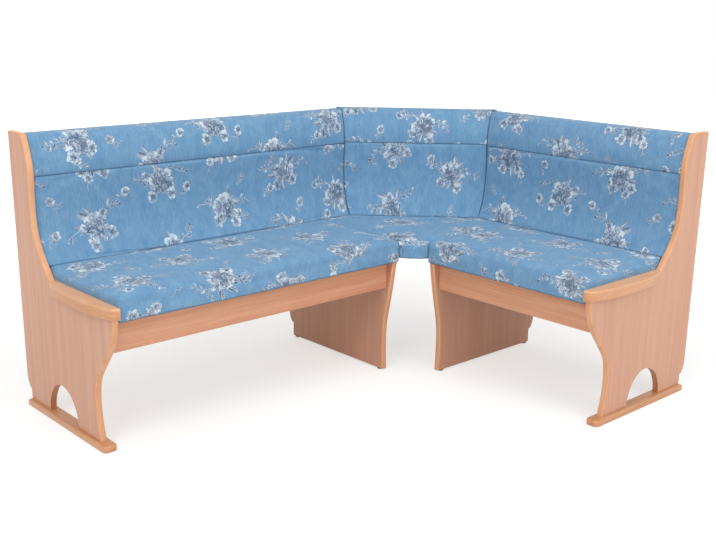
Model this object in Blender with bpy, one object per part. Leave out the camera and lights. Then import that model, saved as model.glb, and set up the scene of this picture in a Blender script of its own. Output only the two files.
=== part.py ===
"""Upholstered kitchen corner bench: a long bench, a short bench and a corner seat between them.

Units are metres, +Z is up. The bench stands on Z = 0 with its footprint centred on the origin.
Inside the model everything is laid out from the wall corner: "run" goes along a wall away from
that corner and "depth" comes out from that wall. The short bench mirrors the long one about the
diagonal. The corner back runs across the diagonal, and its depth starts at its own rear plane.
"""

import math

import bmesh
import bpy

# Overall sizes
TOTAL_HEIGHT = 0.860
LONG_LENGTH = 1.7105  # wall corner to the outer face of the long bench's end panel
SHORT_LENGTH = 1.2924  # wall corner to the outer face of the short bench's end panel
CORNER_SEAT_SIDE = 0.635  # wall corner to the inner panels, the same along both walls
SEAT_FRONT = 0.570  # depth of the seats' front edge
SEAT_UNDERSIDE = 0.397  # floor to the underside of the seat boards
SEAT_CROWN = 0.475  # floor to the highest point of the seat cushions

# Boards
PANEL = 0.020  # thickness of the end panels and inner panels
APRON = 0.0195  # thickness of the aprons and rear rails
APRON_HEIGHT = 0.0945
APRON_SETBACK = 0.0395  # the seat's overhang in front of the apron
SEAT_BOARD = 0.016
BACK_BOARD = 0.016
BACK_SETBACK = 0.008  # wall plane to the rear face of the backs
BACK_SKIN = 0.004  # bent board that carries the foam of the backs
RIB = 0.018

# Upholstery
BACK_FOAM = 0.045
BACK_RECESS = 0.008  # how far the fabric lies behind the front edge of the end panels
HEAD_ROLL = 0.120  # height of the padded band along the top of the backs
HEAD_ROLL_CAP = 0.019  # foam over the top of the boards
HEAD_ROLL_CORNER = 0.018  # radius of the head rolls' upper front corner
HEAD_ROLL_REAR = 0.008  # chamfer of their upper rear corner
SEAM_DEPTH = 0.014  # how deep the seams lie behind the front of the cover
SEAM_LIP = 0.003  # height of the tight curve beside a seam
SEAM_STEP = 0.004  # depth lost over that tight curve
SEAM_TURN = 0.014  # height over which a cushion curves towards its seams
END_ROUND = 0.035  # length over which a back's cushions draw in towards their ends
END_DRAW = 0.008  # how far they draw in there
PAD_SWELL = 0.003  # how far the backs' cushions swell between their ends
CREST_SWELL = 0.4  # share of that swell, and of the drawing in, on top of the head rolls
BEND_STEPS = 11  # straight steps that make the bend of the backs
SIDE_BACK_DROP = 0.007  # top of the end panels to the top of the side backs
CORNER_BACK_DROP = 0.002  # the same for the corner back, which stands a little higher
SEAT_EDGE_DROP = 0.022  # how far the seats fall from the crown to their top edge
SEAT_SKIRT = 0.006  # cover and foam round the edges of a seat board
SEAT_TURN_UNDER = 0.012  # width of the cover that is turned in under a seat cushion
SEAT_HEM_ROUND = 0.005  # height of the rounding at a seat cushion's lower edge
SEAT_PAD_CORNER = 0.012
SEAT_BOARD_CORNER = 0.016
CORNER_SEAT_RISE = 0.013  # how much higher the corner seat's underside lies
SEAT_CORNER_CUT = 0.065  # length cut off each side of the corner seat for its short front edge

# Corner back
CORNER_BACK_REACH = 0.306  # wall corner to the corner back's rear plane, along the diagonal

# Edging, mouldings and rails
EDGING = 0.005
EDGING_CHAMFER = 0.003
ARM_THICKNESS = 0.033
ARM_ABOVE_SEAT_BOARD = 0.012  # underside of the arm moulding above the underside of the seat boards
ARM_REAR = 0.205
ARM_OVERHANG = 0.010  # the arm moulding reaches this far past the seat's front edge
ARM_BULGE = 0.027
ARM_ROUND = 0.006
RAIL_HEIGHT = 0.020
RAIL_WIDTH = 0.044
RAIL_REAR = 0.018
RAIL_FRONT = 0.503
RAIL_CORNER = 0.013
RAIL_ROUND = 0.004
HEAD_CORNER = 0.022  # radius of the end panel's upper front corner
HEAD_DEPTH = 0.080  # depth of the end panel at its top
BACK_HOLLOW_DEPTH = 0.0945  # how far the end panel's upper front edge draws back above the arm moulding
LEG_HOLLOW_DEPTH = 0.123  # how far its lower front edge draws back behind the seat's front edge
INNER_HOLLOW_DEPTH = 0.055  # how far the inner panels' front edge draws back behind it

# Arch cut through the end panels
ARCH_CENTRE = 0.240
ARCH_WIDTH = 0.180
ARCH_HEIGHT = 0.106

# Cut at the rear of every panel that clears a skirting board
SKIRTING_HEIGHT = 0.100
SKIRTING_DEPTH = 0.023

# Battens, frames, plates, screws and glides
BATTEN = 0.020
BATTEN_HEIGHT = 0.045
BATTEN_CLEARANCE = 0.010  # from the battens' ends to the brackets
PLATE = 0.0025
PLATE_WING = 0.060
PLATE_HEIGHT = 0.040
BRACKET_LEG = 0.030
BRACKET_HEIGHT = 0.030
SCREW_RADIUS = 0.002
SCREW_HEAD_RADIUS = 0.0042
SCREW_HEAD = 0.0018
SCREW_LENGTH = 0.015
SCREW_SIDES = 6
FRAME_RAIL_RISE = 0.125  # bottom of the backs to their inner rail
FRAME_RAIL_HEIGHT = 0.050
GLIDE = 0.005
GLIDE_RADIUS = 0.011

GAP = 0.0003  # clearance between pieces that touch
EDGE_ROUND = 0.0015  # softened arrises of the boards

# Worked out from the sizes above
ROOT2 = math.sqrt(2)
MITRE = math.tan(math.radians(22.5))
CORNER_BACK_LEG = CORNER_BACK_REACH * ROOT2
OVERALL_LENGTH = LONG_LENGTH + ARM_BULGE
OVERALL_DEPTH = SHORT_LENGTH + ARM_BULGE
APRON_FRONT = SEAT_FRONT - APRON_SETBACK
APRON_BOTTOM = SEAT_UNDERSIDE - APRON_HEIGHT
ARM_BOTTOM = SEAT_UNDERSIDE + ARM_ABOVE_SEAT_BOARD
ARM_TOP = ARM_BOTTOM + ARM_THICKNESS
ARM_FRONT = SEAT_FRONT + ARM_OVERHANG
BENCH_LENGTHS = {"long": LONG_LENGTH, "short": SHORT_LENGTH}
SIDE_TOP = TOTAL_HEIGHT - SIDE_BACK_DROP
CORNER_TOP = TOTAL_HEIGHT - CORNER_BACK_DROP
CORNER_UNDERSIDE = SEAT_UNDERSIDE + CORNER_SEAT_RISE
BACK_PAD_BOTTOM = SEAT_CROWN + GAP
FRAME_RAIL_BOTTOM = BACK_PAD_BOTTOM + FRAME_RAIL_RISE
FRAME_RAIL_TOP = FRAME_RAIL_BOTTOM + FRAME_RAIL_HEIGHT
BATTEN_ENDS = (
    BACK_SETBACK + APRON + BRACKET_LEG + BATTEN_CLEARANCE,
    APRON_FRONT - APRON - BRACKET_LEG - BATTEN_CLEARANCE,
)
BACK_BOARD_FRONT = BACK_SETBACK + BACK_BOARD

# Colours as linear red, green and blue, with roughness and metallic values
FINISHES = {
    "panel": ((0.60, 0.37, 0.25), 0.42, 0.0),
    "edging": ((0.76, 0.44, 0.21), 0.38, 0.0),
    "solid_beech": ((0.72, 0.40, 0.19), 0.38, 0.0),
    "plain_board": ((0.52, 0.38, 0.24), 0.75, 0.0),
    "fabric": ((0.14, 0.33, 0.58), 0.90, 0.0),
    "steel": ((0.60, 0.60, 0.62), 0.35, 1.0),
    "plastic": ((0.05, 0.04, 0.035), 0.55, 0.0),
}


def smooth_line(knots):
    """Returns a smooth function through (x, y) knots whose x rises."""

    def slope(i):
        low, high = knots[max(i - 1, 0)], knots[min(i + 1, len(knots) - 1)]
        return (high[1] - low[1]) / (high[0] - low[0])

    def value(x):
        i = 0
        while i < len(knots) - 2 and x > knots[i + 1][0]:
            i += 1
        (x0, y0), (x1, y1) = knots[i], knots[i + 1]
        span = x1 - x0
        t = min(max((x - x0) / span, 0.0), 1.0)
        return (
            (2 * t**3 - 3 * t**2 + 1) * y0
            + (t**3 - 2 * t**2 + t) * span * slope(i)
            + (3 * t**2 - 2 * t**3) * y1
            + (t**3 - t**2) * span * slope(i + 1)
        )

    return value


def spread(start, end, count):
    """Returns count values from start to end, both included."""
    return [start + (end - start) * i / (count - 1) for i in range(count)]


def arc(centre, radii, start, end, count):
    """Returns points on an ellipse from one angle in degrees to another."""
    return [
        (centre[0] + radii[0] * math.cos(a), centre[1] + radii[1] * math.sin(a))
        for a in spread(math.radians(start), math.radians(end), count)
    ]


def offset(path, distance, level_ends=False):
    """Moves an open path sideways, to the right of the way it goes, with its ends level if asked."""
    moved = []
    for i, point in enumerate(path):
        before, after = path[max(i - 1, 0)], path[min(i + 1, len(path) - 1)]
        ahead = (after[0] - before[0], after[1] - before[1])
        length = math.hypot(*ahead)
        moved.append((point[0] + ahead[1] / length * distance, point[1] - ahead[0] / length * distance))
    if level_ends:
        moved[0] = (moved[0][0], path[0][1])
        moved[-1] = (moved[-1][0], path[-1][1])
    return moved


# The front edges of the panels, as depth at a height. Each knot is a share of the rise and a share of
# the depth that the edge is set back.
def end_panel_upper_front():
    rise = TOTAL_HEIGHT - ARM_TOP
    shape = [(0, 0), (0.055, 0.22), (0.13, 0.51), (0.21, 0.74), (0.30, 0.90), (0.42, 0.99)]
    shape += [(0.54, 1), (0.71, 0.95), (0.80, 0.99), (0.90, 1.12)]
    knots = [(ARM_TOP + share * rise, ARM_REAR - BACK_HOLLOW_DEPTH * set_back) for share, set_back in shape]
    return smooth_line(knots + [(TOTAL_HEIGHT, HEAD_DEPTH)])


def end_panel_lower_front():
    rise = ARM_BOTTOM - RAIL_HEIGHT
    shape = [(0, 0.86), (0.17, 0.975), (0.33, 1), (0.48, 0.90), (0.64, 0.53), (0.76, 0.24)]
    shape += [(0.88, 0.07), (1, 0.01)]
    front = SEAT_FRONT
    return smooth_line([(RAIL_HEIGHT + share * rise, front - LEG_HOLLOW_DEPTH * back) for share, back in shape])


def inner_panel_front():
    rise = SEAT_UNDERSIDE - GLIDE
    shape = [(0, 0.95), (0.27, 1), (0.45, 0.91), (0.64, 0.64), (0.85, 0.36), (1, 0.20)]
    knots = [(GLIDE + share * rise, SEAT_FRONT - INNER_HOLLOW_DEPTH * set_back) for share, set_back in shape]
    return smooth_line(knots)


PANEL_UPPER_FRONT = end_panel_upper_front()
PANEL_LOWER_FRONT = end_panel_lower_front()


def fabric_front(height):
    """Depth of the backs' fabric at a height."""
    return PANEL_UPPER_FRONT(height) - BACK_RECESS


def place_on_bench(side, run, depth):
    """Turns run and depth on one side of the bench into distances along the two walls."""
    if side == "long":
        return run, depth
    if side == "short":
        return depth, run
    reach = CORNER_BACK_REACH + depth
    return (reach + run) / ROOT2, (reach - run) / ROOT2


def mitre_start(depth):
    """Run at which a side back meets the corner back, with half the clearance."""
    return CORNER_BACK_LEG + MITRE * depth + GAP


def corner_half_width(depth):
    """Half the corner back's width, from the diagonal to a mitre, with half the clearance."""
    return CORNER_BACK_REACH - MITRE * depth - GAP


def back_ends(side):
    """Start and end of a back as functions of depth."""
    if side == "corner":
        return lambda depth: -corner_half_width(depth), corner_half_width
    return mitre_start, lambda depth: BENCH_LENGTHS[side] - PANEL - GAP


def clear_scene():
    for old in list(bpy.data.objects):
        bpy.data.objects.remove(old, do_unlink=True)


def make_finish(name, kind):
    colour, roughness, metallic = FINISHES[kind]
    material = bpy.data.materials.new(f"{name}_finish")
    material.use_nodes = True
    shader = material.node_tree.nodes["Principled BSDF"]
    shader.inputs["Base Color"].default_value = (*colour, 1.0)
    shader.inputs["Roughness"].default_value = roughness
    shader.inputs["Metallic"].default_value = metallic
    material.diffuse_color = (*colour, 1.0)
    return material


class Piece:
    """A mesh under way, in wall-corner coordinates, that becomes one named object."""

    def __init__(self, name, side, finish):
        self.name, self.side, self.finish = name, side, finish
        self.mesh = bmesh.new()

    def vertex(self, run, depth, height):
        return self.mesh.verts.new((*place_on_bench(self.side, run, depth), height))

    def loft(self, rings):
        """Joins rings of (run, depth, height) points with quads and caps the first and last."""
        loops = [[self.vertex(*point) for point in ring] for ring in rings]
        count = len(loops[0])
        for low, high in zip(loops, loops[1:]):
            for i in range(count):
                j = (i + 1) % count
                self.mesh.faces.new((low[i], low[j], high[j], high[i]))
        self.mesh.faces.new(loops[0])
        self.mesh.faces.new(loops[-1])
        return self

    def profile(self, outline, start, end):
        """Runs a (depth, height) outline from one run to another; each may depend on depth."""
        rings = []
        for place in (start, end):
            at = place if callable(place) else lambda depth, run=place: run
            rings.append([(at(depth), depth, height) for depth, height in outline])
        return self.loft(rings)

    def plan(self, outline, low, high):
        """Stands a (run, depth) outline up from one height to another."""
        return self.loft([[(run, depth, z) for run, depth in outline] for z in (low, high)])

    def block(self, run, depth, height):
        """Adds a box given as three (low, high) pairs."""
        corners = [(run[0], depth[0]), (run[1], depth[0]), (run[1], depth[1]), (run[0], depth[1])]
        return self.plan(corners, *height)

    def turned(self, start, end, sections, sides):
        """Adds a round body from start towards end, with (distance, radius) sections."""
        first, last = ((*place_on_bench(self.side, *p[:2]), p[2]) for p in (start, end))
        axis = [b - a for a, b in zip(first, last)]
        length = math.sqrt(sum(c * c for c in axis))
        axis = [c / length for c in axis]
        across = (0.0, 0.0, 1.0) if abs(axis[2]) < 0.5 else (1.0, 0.0, 0.0)
        aside = (
            axis[1] * across[2] - axis[2] * across[1],
            axis[2] * across[0] - axis[0] * across[2],
            axis[0] * across[1] - axis[1] * across[0],
        )
        size = math.sqrt(sum(c * c for c in aside))
        aside = [c / size for c in aside]
        up = (
            axis[1] * aside[2] - axis[2] * aside[1],
            axis[2] * aside[0] - axis[0] * aside[2],
            axis[0] * aside[1] - axis[1] * aside[0],
        )
        loops = []
        for distance, radius in sections:
            loop = []
            for k in range(sides):
                angle = 2 * math.pi * (k + 0.5) / sides
                c, s = radius * math.cos(angle), radius * math.sin(angle)
                place = (first[i] + axis[i] * distance + aside[i] * c + up[i] * s for i in range(3))
                loop.append(self.mesh.verts.new(tuple(place)))
            loops.append(loop)
        for low, high in zip(loops, loops[1:]):
            for i in range(sides):
                j = (i + 1) % sides
                self.mesh.faces.new((low[i], low[j], high[j], high[i]))
        self.mesh.faces.new(loops[0])
        self.mesh.faces.new(loops[-1])
        return self

    def finish_object(self, parent, smooth=False):
        """Makes the object, with its origin at the middle of its underside."""
        bmesh.ops.recalc_face_normals(self.mesh, faces=self.mesh.faces)
        lows = [min(v.co[i] for v in self.mesh.verts) for i in range(3)]
        highs = [max(v.co[i] for v in self.mesh.verts) for i in range(3)]
        origin = ((lows[0] + highs[0]) / 2, (lows[1] + highs[1]) / 2, lows[2])
        bmesh.ops.translate(self.mesh, verts=self.mesh.verts, vec=[-c for c in origin])
        data = bpy.data.meshes.new(self.name)
        self.mesh.to_mesh(data)
        self.mesh.free()
        if smooth:
            data.shade_smooth()
            data.set_sharp_from_angle(angle=math.radians(40))
        piece = bpy.data.objects.new(self.name, data)
        piece.location = origin
        piece.parent = parent
        if self.finish:
            data.materials.append(make_finish(self.name, self.finish))
        bpy.context.collection.objects.link(piece)
        return piece


def soften(piece, width, segments=1):
    """Rounds the sharp edges of a board."""
    bevel = piece.modifiers.new("softened_arrises", "BEVEL")
    bevel.width = width
    bevel.segments = segments
    bevel.limit_method = "ANGLE"
    bevel.angle_limit = math.radians(50)
    return piece


def helper(piece, parent):
    """Makes a shape that only cuts or joins, and isn't part of the bench itself."""
    tool = piece.finish_object(parent)
    tool.hide_render = True
    tool.display_type = "WIRE"
    return tool


def combine(piece, tool, operation):
    modifier = piece.modifiers.new(f"{operation.lower()}_{tool.name}", "BOOLEAN")
    modifier.operation = operation
    modifier.solver = "EXACT"
    modifier.object = tool


def fasten(plate, screws, boards, parent):
    """Joins screws to a steel plate and drills their holes in the boards behind it.

    A screw is (side, start, end, board): start lies on the plate's outer face and end is its tip.
    """
    shanks = Piece(f"{plate.name}_screws", plate.side, None)
    bore = SCREW_RADIUS + GAP
    sink = SCREW_HEAD * 0.2
    for side, start, end, board in screws:
        shanks.side = side
        sections = [(-SCREW_HEAD, SCREW_HEAD_RADIUS * 0.6), (-SCREW_HEAD * 0.4, SCREW_HEAD_RADIUS)]
        sections += [(sink, SCREW_HEAD_RADIUS), (sink, SCREW_RADIUS), (SCREW_LENGTH, SCREW_RADIUS)]
        shanks.turned(start, end, sections, SCREW_SIDES)
        drill = boards.setdefault(board, Piece(f"{board}_holes", side, None))
        drill.side = side
        drill.turned(start, end, [(0.0, bore), (SCREW_LENGTH + GAP, bore)], SCREW_SIDES)
    made = plate.finish_object(parent)
    combine(made, helper(shanks, parent), "UNION")
    return made


def skirting_cut(bottom, height):
    """Rear edge of a panel, from its bottom up to the wall plane."""
    curve = arc((SKIRTING_DEPTH, height), (SKIRTING_DEPTH, height * 0.45), 270, 180, 6)
    return [(SKIRTING_DEPTH, bottom)] + curve


def upper_edge_path():
    """Outline of an end panel from its upper rear corner to the arm moulding."""
    corner_top = TOTAL_HEIGHT - HEAD_CORNER
    corner_depth = PANEL_UPPER_FRONT(corner_top)
    path = [(0.0, TOTAL_HEIGHT)]
    path += arc((corner_depth - HEAD_CORNER, corner_top), (HEAD_CORNER, HEAD_CORNER), 90, 10, 6)
    heights = spread(corner_top - HEAD_CORNER / 2, ARM_TOP + GAP, 20)
    return path + [(PANEL_UPPER_FRONT(z), z) for z in heights]


def lower_edge_path():
    """Outline of an end panel from under the arm moulding to the foot rail."""
    return [(PANEL_LOWER_FRONT(z), z) for z in spread(ARM_BOTTOM - GAP, RAIL_HEIGHT + GAP, 18)]


def inner_edge_path():
    front = inner_panel_front()
    return [(front(z), z) for z in spread(SEAT_UNDERSIDE - GAP, GLIDE, 12)]


def edging(name, side, path, start, level_ends, parent):
    """Solid lipping that follows an edge path, chamfered along both arrises."""
    core = offset(path, EDGING, level_ends)
    shoulder = offset(path, EDGING_CHAMFER, level_ends)
    rings = []
    for outer, middle, inner in zip(path, shoulder, core):
        section = [(start, inner), (start, middle), (start + EDGING_CHAMFER, outer)]
        section += [(start + PANEL - EDGING_CHAMFER, outer), (start + PANEL, middle), (start + PANEL, inner)]
        rings.append([(run, *point) for run, point in section])
    return Piece(name, side, "edging").loft(rings).finish_object(parent, smooth=True)


def end_panel(side, parent):
    start = BENCH_LENGTHS[side] - PANEL
    upper = offset(upper_edge_path(), EDGING + GAP)
    lower = offset(lower_edge_path(), EDGING + GAP, level_ends=True)
    outline = skirting_cut(RAIL_HEIGHT + GAP, SKIRTING_HEIGHT) + upper
    outline += [(ARM_REAR, upper[-1][1]), (ARM_REAR, ARM_BOTTOM - GAP)] + lower
    foot = RAIL_HEIGHT + GAP
    arch = arc((ARCH_CENTRE, foot), (ARCH_WIDTH / 2, ARCH_HEIGHT), 0, 180, 17)
    return Piece(f"{side}_end_panel", side, "panel").profile(
        outline + arch, start, start + PANEL
    ).finish_object(parent)


def arm_moulding(side, parent):
    inner = BENCH_LENGTHS[side] - PANEL
    outer = BENCH_LENGTHS[side]
    length = ARM_FRONT - ARM_REAR
    rear = ARM_REAR + GAP
    # Outer side in plan: each knot is a share of the length and a share of the bulge.
    bulge = smooth_line([(0, 0), (0.17, 0.80), (0.41, 1), (0.63, 1), (0.81, 0.72), (0.95, 0.33), (1, 0.10)])
    shares = [0, 0.06, 0.12, 0.18, 0.27, 0.37, 0.47, 0.57, 0.67, 0.76, 0.84, 0.91, 0.955]
    curve = [(outer + ARM_BULGE * min(bulge(s), 1), rear + s * (length - GAP)) for s in shares]
    tip_run, tip_depth = curve[-1]
    reach = (tip_run - inner, ARM_FRONT - tip_depth)
    curve += arc((inner, tip_depth), reach, 18, 72, 4)
    outline = [(inner, rear)] + curve + [(inner, ARM_FRONT)]
    piece = Piece(f"{side}_arm_moulding", side, "solid_beech")
    piece.plan(outline, ARM_BOTTOM, ARM_TOP)
    return soften(piece.finish_object(parent), ARM_ROUND, 2)


def foot_rail(side, parent):
    middle = BENCH_LENGTHS[side] - PANEL / 2
    low, high = middle - RAIL_WIDTH / 2, middle + RAIL_WIDTH / 2
    turn = (RAIL_CORNER, RAIL_CORNER)
    outline = [(low, RAIL_REAR), (high, RAIL_REAR)]
    outline += arc((high - RAIL_CORNER, RAIL_FRONT - RAIL_CORNER), turn, 0, 90, 5)
    outline += arc((low + RAIL_CORNER, RAIL_FRONT - RAIL_CORNER), turn, 90, 180, 5)
    piece = Piece(f"{side}_foot_rail", side, "solid_beech")
    round_off = RAIL_ROUND
    rings = []
    for inset, height in ((0, 0), (0, RAIL_HEIGHT - round_off), (round_off, RAIL_HEIGHT)):
        centre = (middle, (RAIL_REAR + RAIL_FRONT) / 2)
        shrink = (1 - inset / (RAIL_WIDTH / 2), 1 - inset / ((RAIL_FRONT - RAIL_REAR) / 2))
        rings.append(
            [
                (centre[0] + (r - centre[0]) * shrink[0], centre[1] + (d - centre[1]) * shrink[1], height)
                for r, d in outline
            ]
        )
    return piece.loft(rings).finish_object(parent)


def inner_panel(side, parent):
    start = CORNER_SEAT_SIDE
    front = offset(inner_edge_path(), EDGING + GAP, level_ends=True)
    outline = skirting_cut(GLIDE, SKIRTING_HEIGHT) + [(0.0, SEAT_UNDERSIDE - GAP)] + front
    panel = Piece(f"{side}_inner_panel", side, "panel")
    return panel.profile(outline, start, start + PANEL).finish_object(parent)


def bench_boards(side, parent):
    """Apron, rear rail, battens and seat board of one straight bench."""
    inner = CORNER_SEAT_SIDE + PANEL + GAP
    outer = BENCH_LENGTHS[side] - PANEL - GAP
    height = (APRON_BOTTOM, SEAT_UNDERSIDE - GAP)
    apron = Piece(f"{side}_apron", side, "panel")
    apron.block((inner, outer), (APRON_FRONT - APRON, APRON_FRONT), height)
    rail = Piece(f"{side}_rear_rail", side, "panel")
    rail.block((inner, outer), (BACK_SETBACK, BACK_SETBACK + APRON), height)
    batten_height = (SEAT_UNDERSIDE - BATTEN_HEIGHT, SEAT_UNDERSIDE - GAP)
    end_batten = Piece(f"{side}_end_batten", side, "plain_board")
    end_batten.block((outer - BATTEN, outer), BATTEN_ENDS, batten_height)
    corner_top = CORNER_UNDERSIDE - GAP
    corner_batten = Piece(f"{side}_corner_batten", side, "plain_board")
    corner_batten.block(
        (CORNER_SEAT_SIDE - GAP - BATTEN, CORNER_SEAT_SIDE - GAP),
        BATTEN_ENDS,
        (corner_top - BATTEN_HEIGHT, corner_top),
    )
    wrap = SEAT_SKIRT + 4 * GAP
    left, right, front = CORNER_SEAT_SIDE + wrap, outer - wrap, SEAT_FRONT - wrap
    corners = [(left, BACK_SETBACK), (right, BACK_SETBACK), (right, front), (left, front)]
    board = Piece(f"{side}_seat_board", side, "plain_board")
    outline = rounded_plan(corners, SEAT_BOARD_CORNER)
    board.plan(outline, SEAT_UNDERSIDE, SEAT_UNDERSIDE + SEAT_BOARD)
    made = [piece.finish_object(parent) for piece in (apron, rail, end_batten, corner_batten, board)]
    for piece in made[:2]:
        soften(piece, EDGE_ROUND)
    return made


def back_top(side):
    return CORNER_TOP if side == "corner" else SIDE_TOP


def boards_top(side):
    """Top of the boards and frame inside a back, under the foam of the head roll."""
    return back_top(side) - HEAD_ROLL_CAP - GAP


def foam_line(side):
    """Rear of the foam as straight steps of (depth, height), from the seat up."""
    heights = spread(BACK_PAD_BOTTOM, boards_top(side), BEND_STEPS)
    return [(fabric_front(z) - BACK_FOAM, z) for z in heights]


def stepped_depth(line, height):
    """Depth at a height on a line of straight steps."""
    for (low_depth, low), (high_depth, high) in zip(line, line[1:]):
        if height <= high:
            break
    return low_depth + (high_depth - low_depth) * (height - low) / (high - low)


def back_board(side, parent):
    start, end = back_ends(side)
    top = boards_top(side)
    low = SEAT_UNDERSIDE + SEAT_BOARD + GAP
    step = CORNER_UNDERSIDE + SEAT_BOARD + GAP
    depths = (BACK_SETBACK, BACK_BOARD_FRONT)

    def ring(at, bottom):
        corners = [(depths[0], bottom), (depths[1], bottom), (depths[1], top), (depths[0], top)]
        return [(at(depth), depth, height) for depth, height in corners]

    rings = [ring(start, step), ring(end, step)]
    if side != "corner":
        at_step = [lambda depth: CORNER_SEAT_SIDE - GAP, lambda depth: CORNER_SEAT_SIDE + 2 * GAP]
        rings = [ring(start, step), ring(at_step[0], step), ring(at_step[1], low), ring(end, low)]
    return Piece(f"{side}_back_board", side, "plain_board").loft(rings).finish_object(parent)


def rib_places(side):
    deepest = fabric_front(BACK_PAD_BOTTOM) - BACK_FOAM
    start, end = back_ends(side)
    low, high = start(deepest) + RIB / 2, end(deepest) - 1.5 * RIB
    return spread(low, high, {"long": 4, "short": 3, "corner": 2}[side])


def back_frame(side, parent):
    """Glued frame between the back board and the bent skin: upright formers let into one rail."""
    rear = BACK_BOARD_FRONT + GAP
    front = [(depth - BACK_SKIN - 2 * GAP, z) for depth, z in foam_line(side)]
    ribs = Piece(f"{side}_back_ribs", side, None)
    places = rib_places(side)
    for run in places:
        over_corner = side == "corner" or run < CORNER_SEAT_SIDE
        seat = CORNER_UNDERSIDE if over_corner else SEAT_UNDERSIDE
        bottom = seat + SEAT_BOARD + GAP
        outline = [(rear, bottom), (front[0][0], bottom)] + front + [(rear, front[-1][1])]
        ribs.profile(outline, run, run + RIB)
    rail = Piece(f"{side}_back_frame", side, "plain_board")
    reach = (places[0] + RIB / 3, places[-1] + RIB * 2 / 3)
    rail.block(reach, (rear + RIB / 6, rear + RIB * 7 / 6), (FRAME_RAIL_BOTTOM, FRAME_RAIL_TOP))
    frame = rail.finish_object(parent)
    combine(frame, helper(ribs, parent), "UNION")
    return frame


def back_skin(side, parent):
    """Thin bent board over the ribs."""
    front = [(depth - GAP, z) for depth, z in foam_line(side)]
    rear = [(depth - BACK_SKIN, z) for depth, z in front]
    start, end = back_ends(side)
    piece = Piece(f"{side}_back_skin", side, "plain_board")
    return piece.profile(front + rear[::-1], start, end).finish_object(parent)


def swept_pad(name, side, outline, parent):
    """Cushion along a back that swells between its ends and draws in at them.

    The outline's points are (depth, height, outward), where outward is the way the cover swells there.
    """
    start, end = back_ends(side)
    rings = []
    for share, inset in pad_stations(side):
        move = PAD_SWELL * 4 * share * (1 - share) - inset
        ring = []
        for depth, height, outward in outline:
            run = start(depth) + (end(depth) - start(depth)) * share
            ring.append((run, depth + outward[0] * move, height + outward[1] * move))
        rings.append(ring)
    return Piece(name, side, "fabric").loft(rings).finish_object(parent, smooth=True)


def pad_stations(side):
    """Shares of the length with how far the cover draws in there: rounded near both ends."""
    start, end = back_ends(side)
    length = end(BACK_FOAM) - start(BACK_FOAM)
    near = ((0.0, 1.0), (0.10, 0.52), (0.31, 0.15))
    shares = [(END_ROUND * along / length, END_DRAW * drawn) for along, drawn in near]
    first = END_ROUND / length
    middle = [(share, 0.0) for share in spread(first, 1 - first, 5 if side == "corner" else 7)]
    return shares + middle + [(1 - share, inset) for share, inset in shares[::-1]]


def back_pad(side, parent):
    """Lower cushion of a back, from the seat to the seam under the head roll."""
    seam = back_top(side) - HEAD_ROLL
    line = foam_line(side)
    rear = [(stepped_depth(line, seam - GAP), seam - GAP)]
    rear += [point for point in reversed(line) if point[1] < seam - 2 * GAP]
    low_lip, high_lip = BACK_PAD_BOTTOM + SEAM_LIP, seam - SEAM_LIP
    low = [(fabric_front(BACK_PAD_BOTTOM) - SEAM_DEPTH, BACK_PAD_BOTTOM)]
    low += [(fabric_front(low_lip) - SEAM_STEP, low_lip)]
    front = [(fabric_front(z), z) for z in spread(BACK_PAD_BOTTOM + SEAM_TURN, seam - SEAM_TURN, 8)]
    high = [(fabric_front(high_lip) - SEAM_STEP, high_lip), (fabric_front(seam) - SEAM_DEPTH, seam - GAP)]
    outline = [(depth, z, (0, 0)) for depth, z in rear]
    outline += [(depth, z, (0.5, 0)) for depth, z in low]
    outline += [(depth, z, (1, 0)) for depth, z in front]
    outline += [(depth, z, (0.5, 0)) for depth, z in high]
    return swept_pad(f"{side}_back_pad", side, outline, parent)


def head_roll(side, parent):
    """Padded band along the top of a back, wrapped over the ribs and the back board."""
    top = back_top(side)
    seam = top - HEAD_ROLL
    ledge = top - HEAD_ROLL_CAP
    line = foam_line(side)
    inner = [(BACK_SETBACK, ledge), (line[-1][0], ledge)]
    inner += [point for point in reversed(line[:-1]) if point[1] > seam + 2 * GAP]
    inner += [(stepped_depth(line, seam), seam)]
    lip = seam + SEAM_LIP
    low = [(fabric_front(seam) - SEAM_DEPTH, seam), (fabric_front(lip) - SEAM_STEP, lip)]
    corner = HEAD_ROLL_CORNER
    crest_low = top - corner
    crest_depth = fabric_front(crest_low) - corner
    front = [(fabric_front(z), z) for z in spread(seam + SEAM_TURN, crest_low - SEAM_STEP, 5)]
    crest = arc((crest_depth, crest_low), (corner, corner), 0, 90, 4)
    outline = [(depth, z, (0, 0)) for depth, z in inner]
    outline += [(depth, z, (0.5, 0)) for depth, z in low]
    outline += [(depth, z, (1, 0)) for depth, z in front]
    for depth, z in crest:
        outward = ((depth - crest_depth) / corner, (z - crest_low) / corner * CREST_SWELL)
        outline.append((depth, z, outward))
    outline.append((BACK_SETBACK + HEAD_ROLL_REAR, top, (0, CREST_SWELL)))
    outline.append((BACK_SETBACK, top - HEAD_ROLL_REAR, (0, 0)))
    return swept_pad(f"{side}_head_roll", side, outline, parent)


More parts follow.
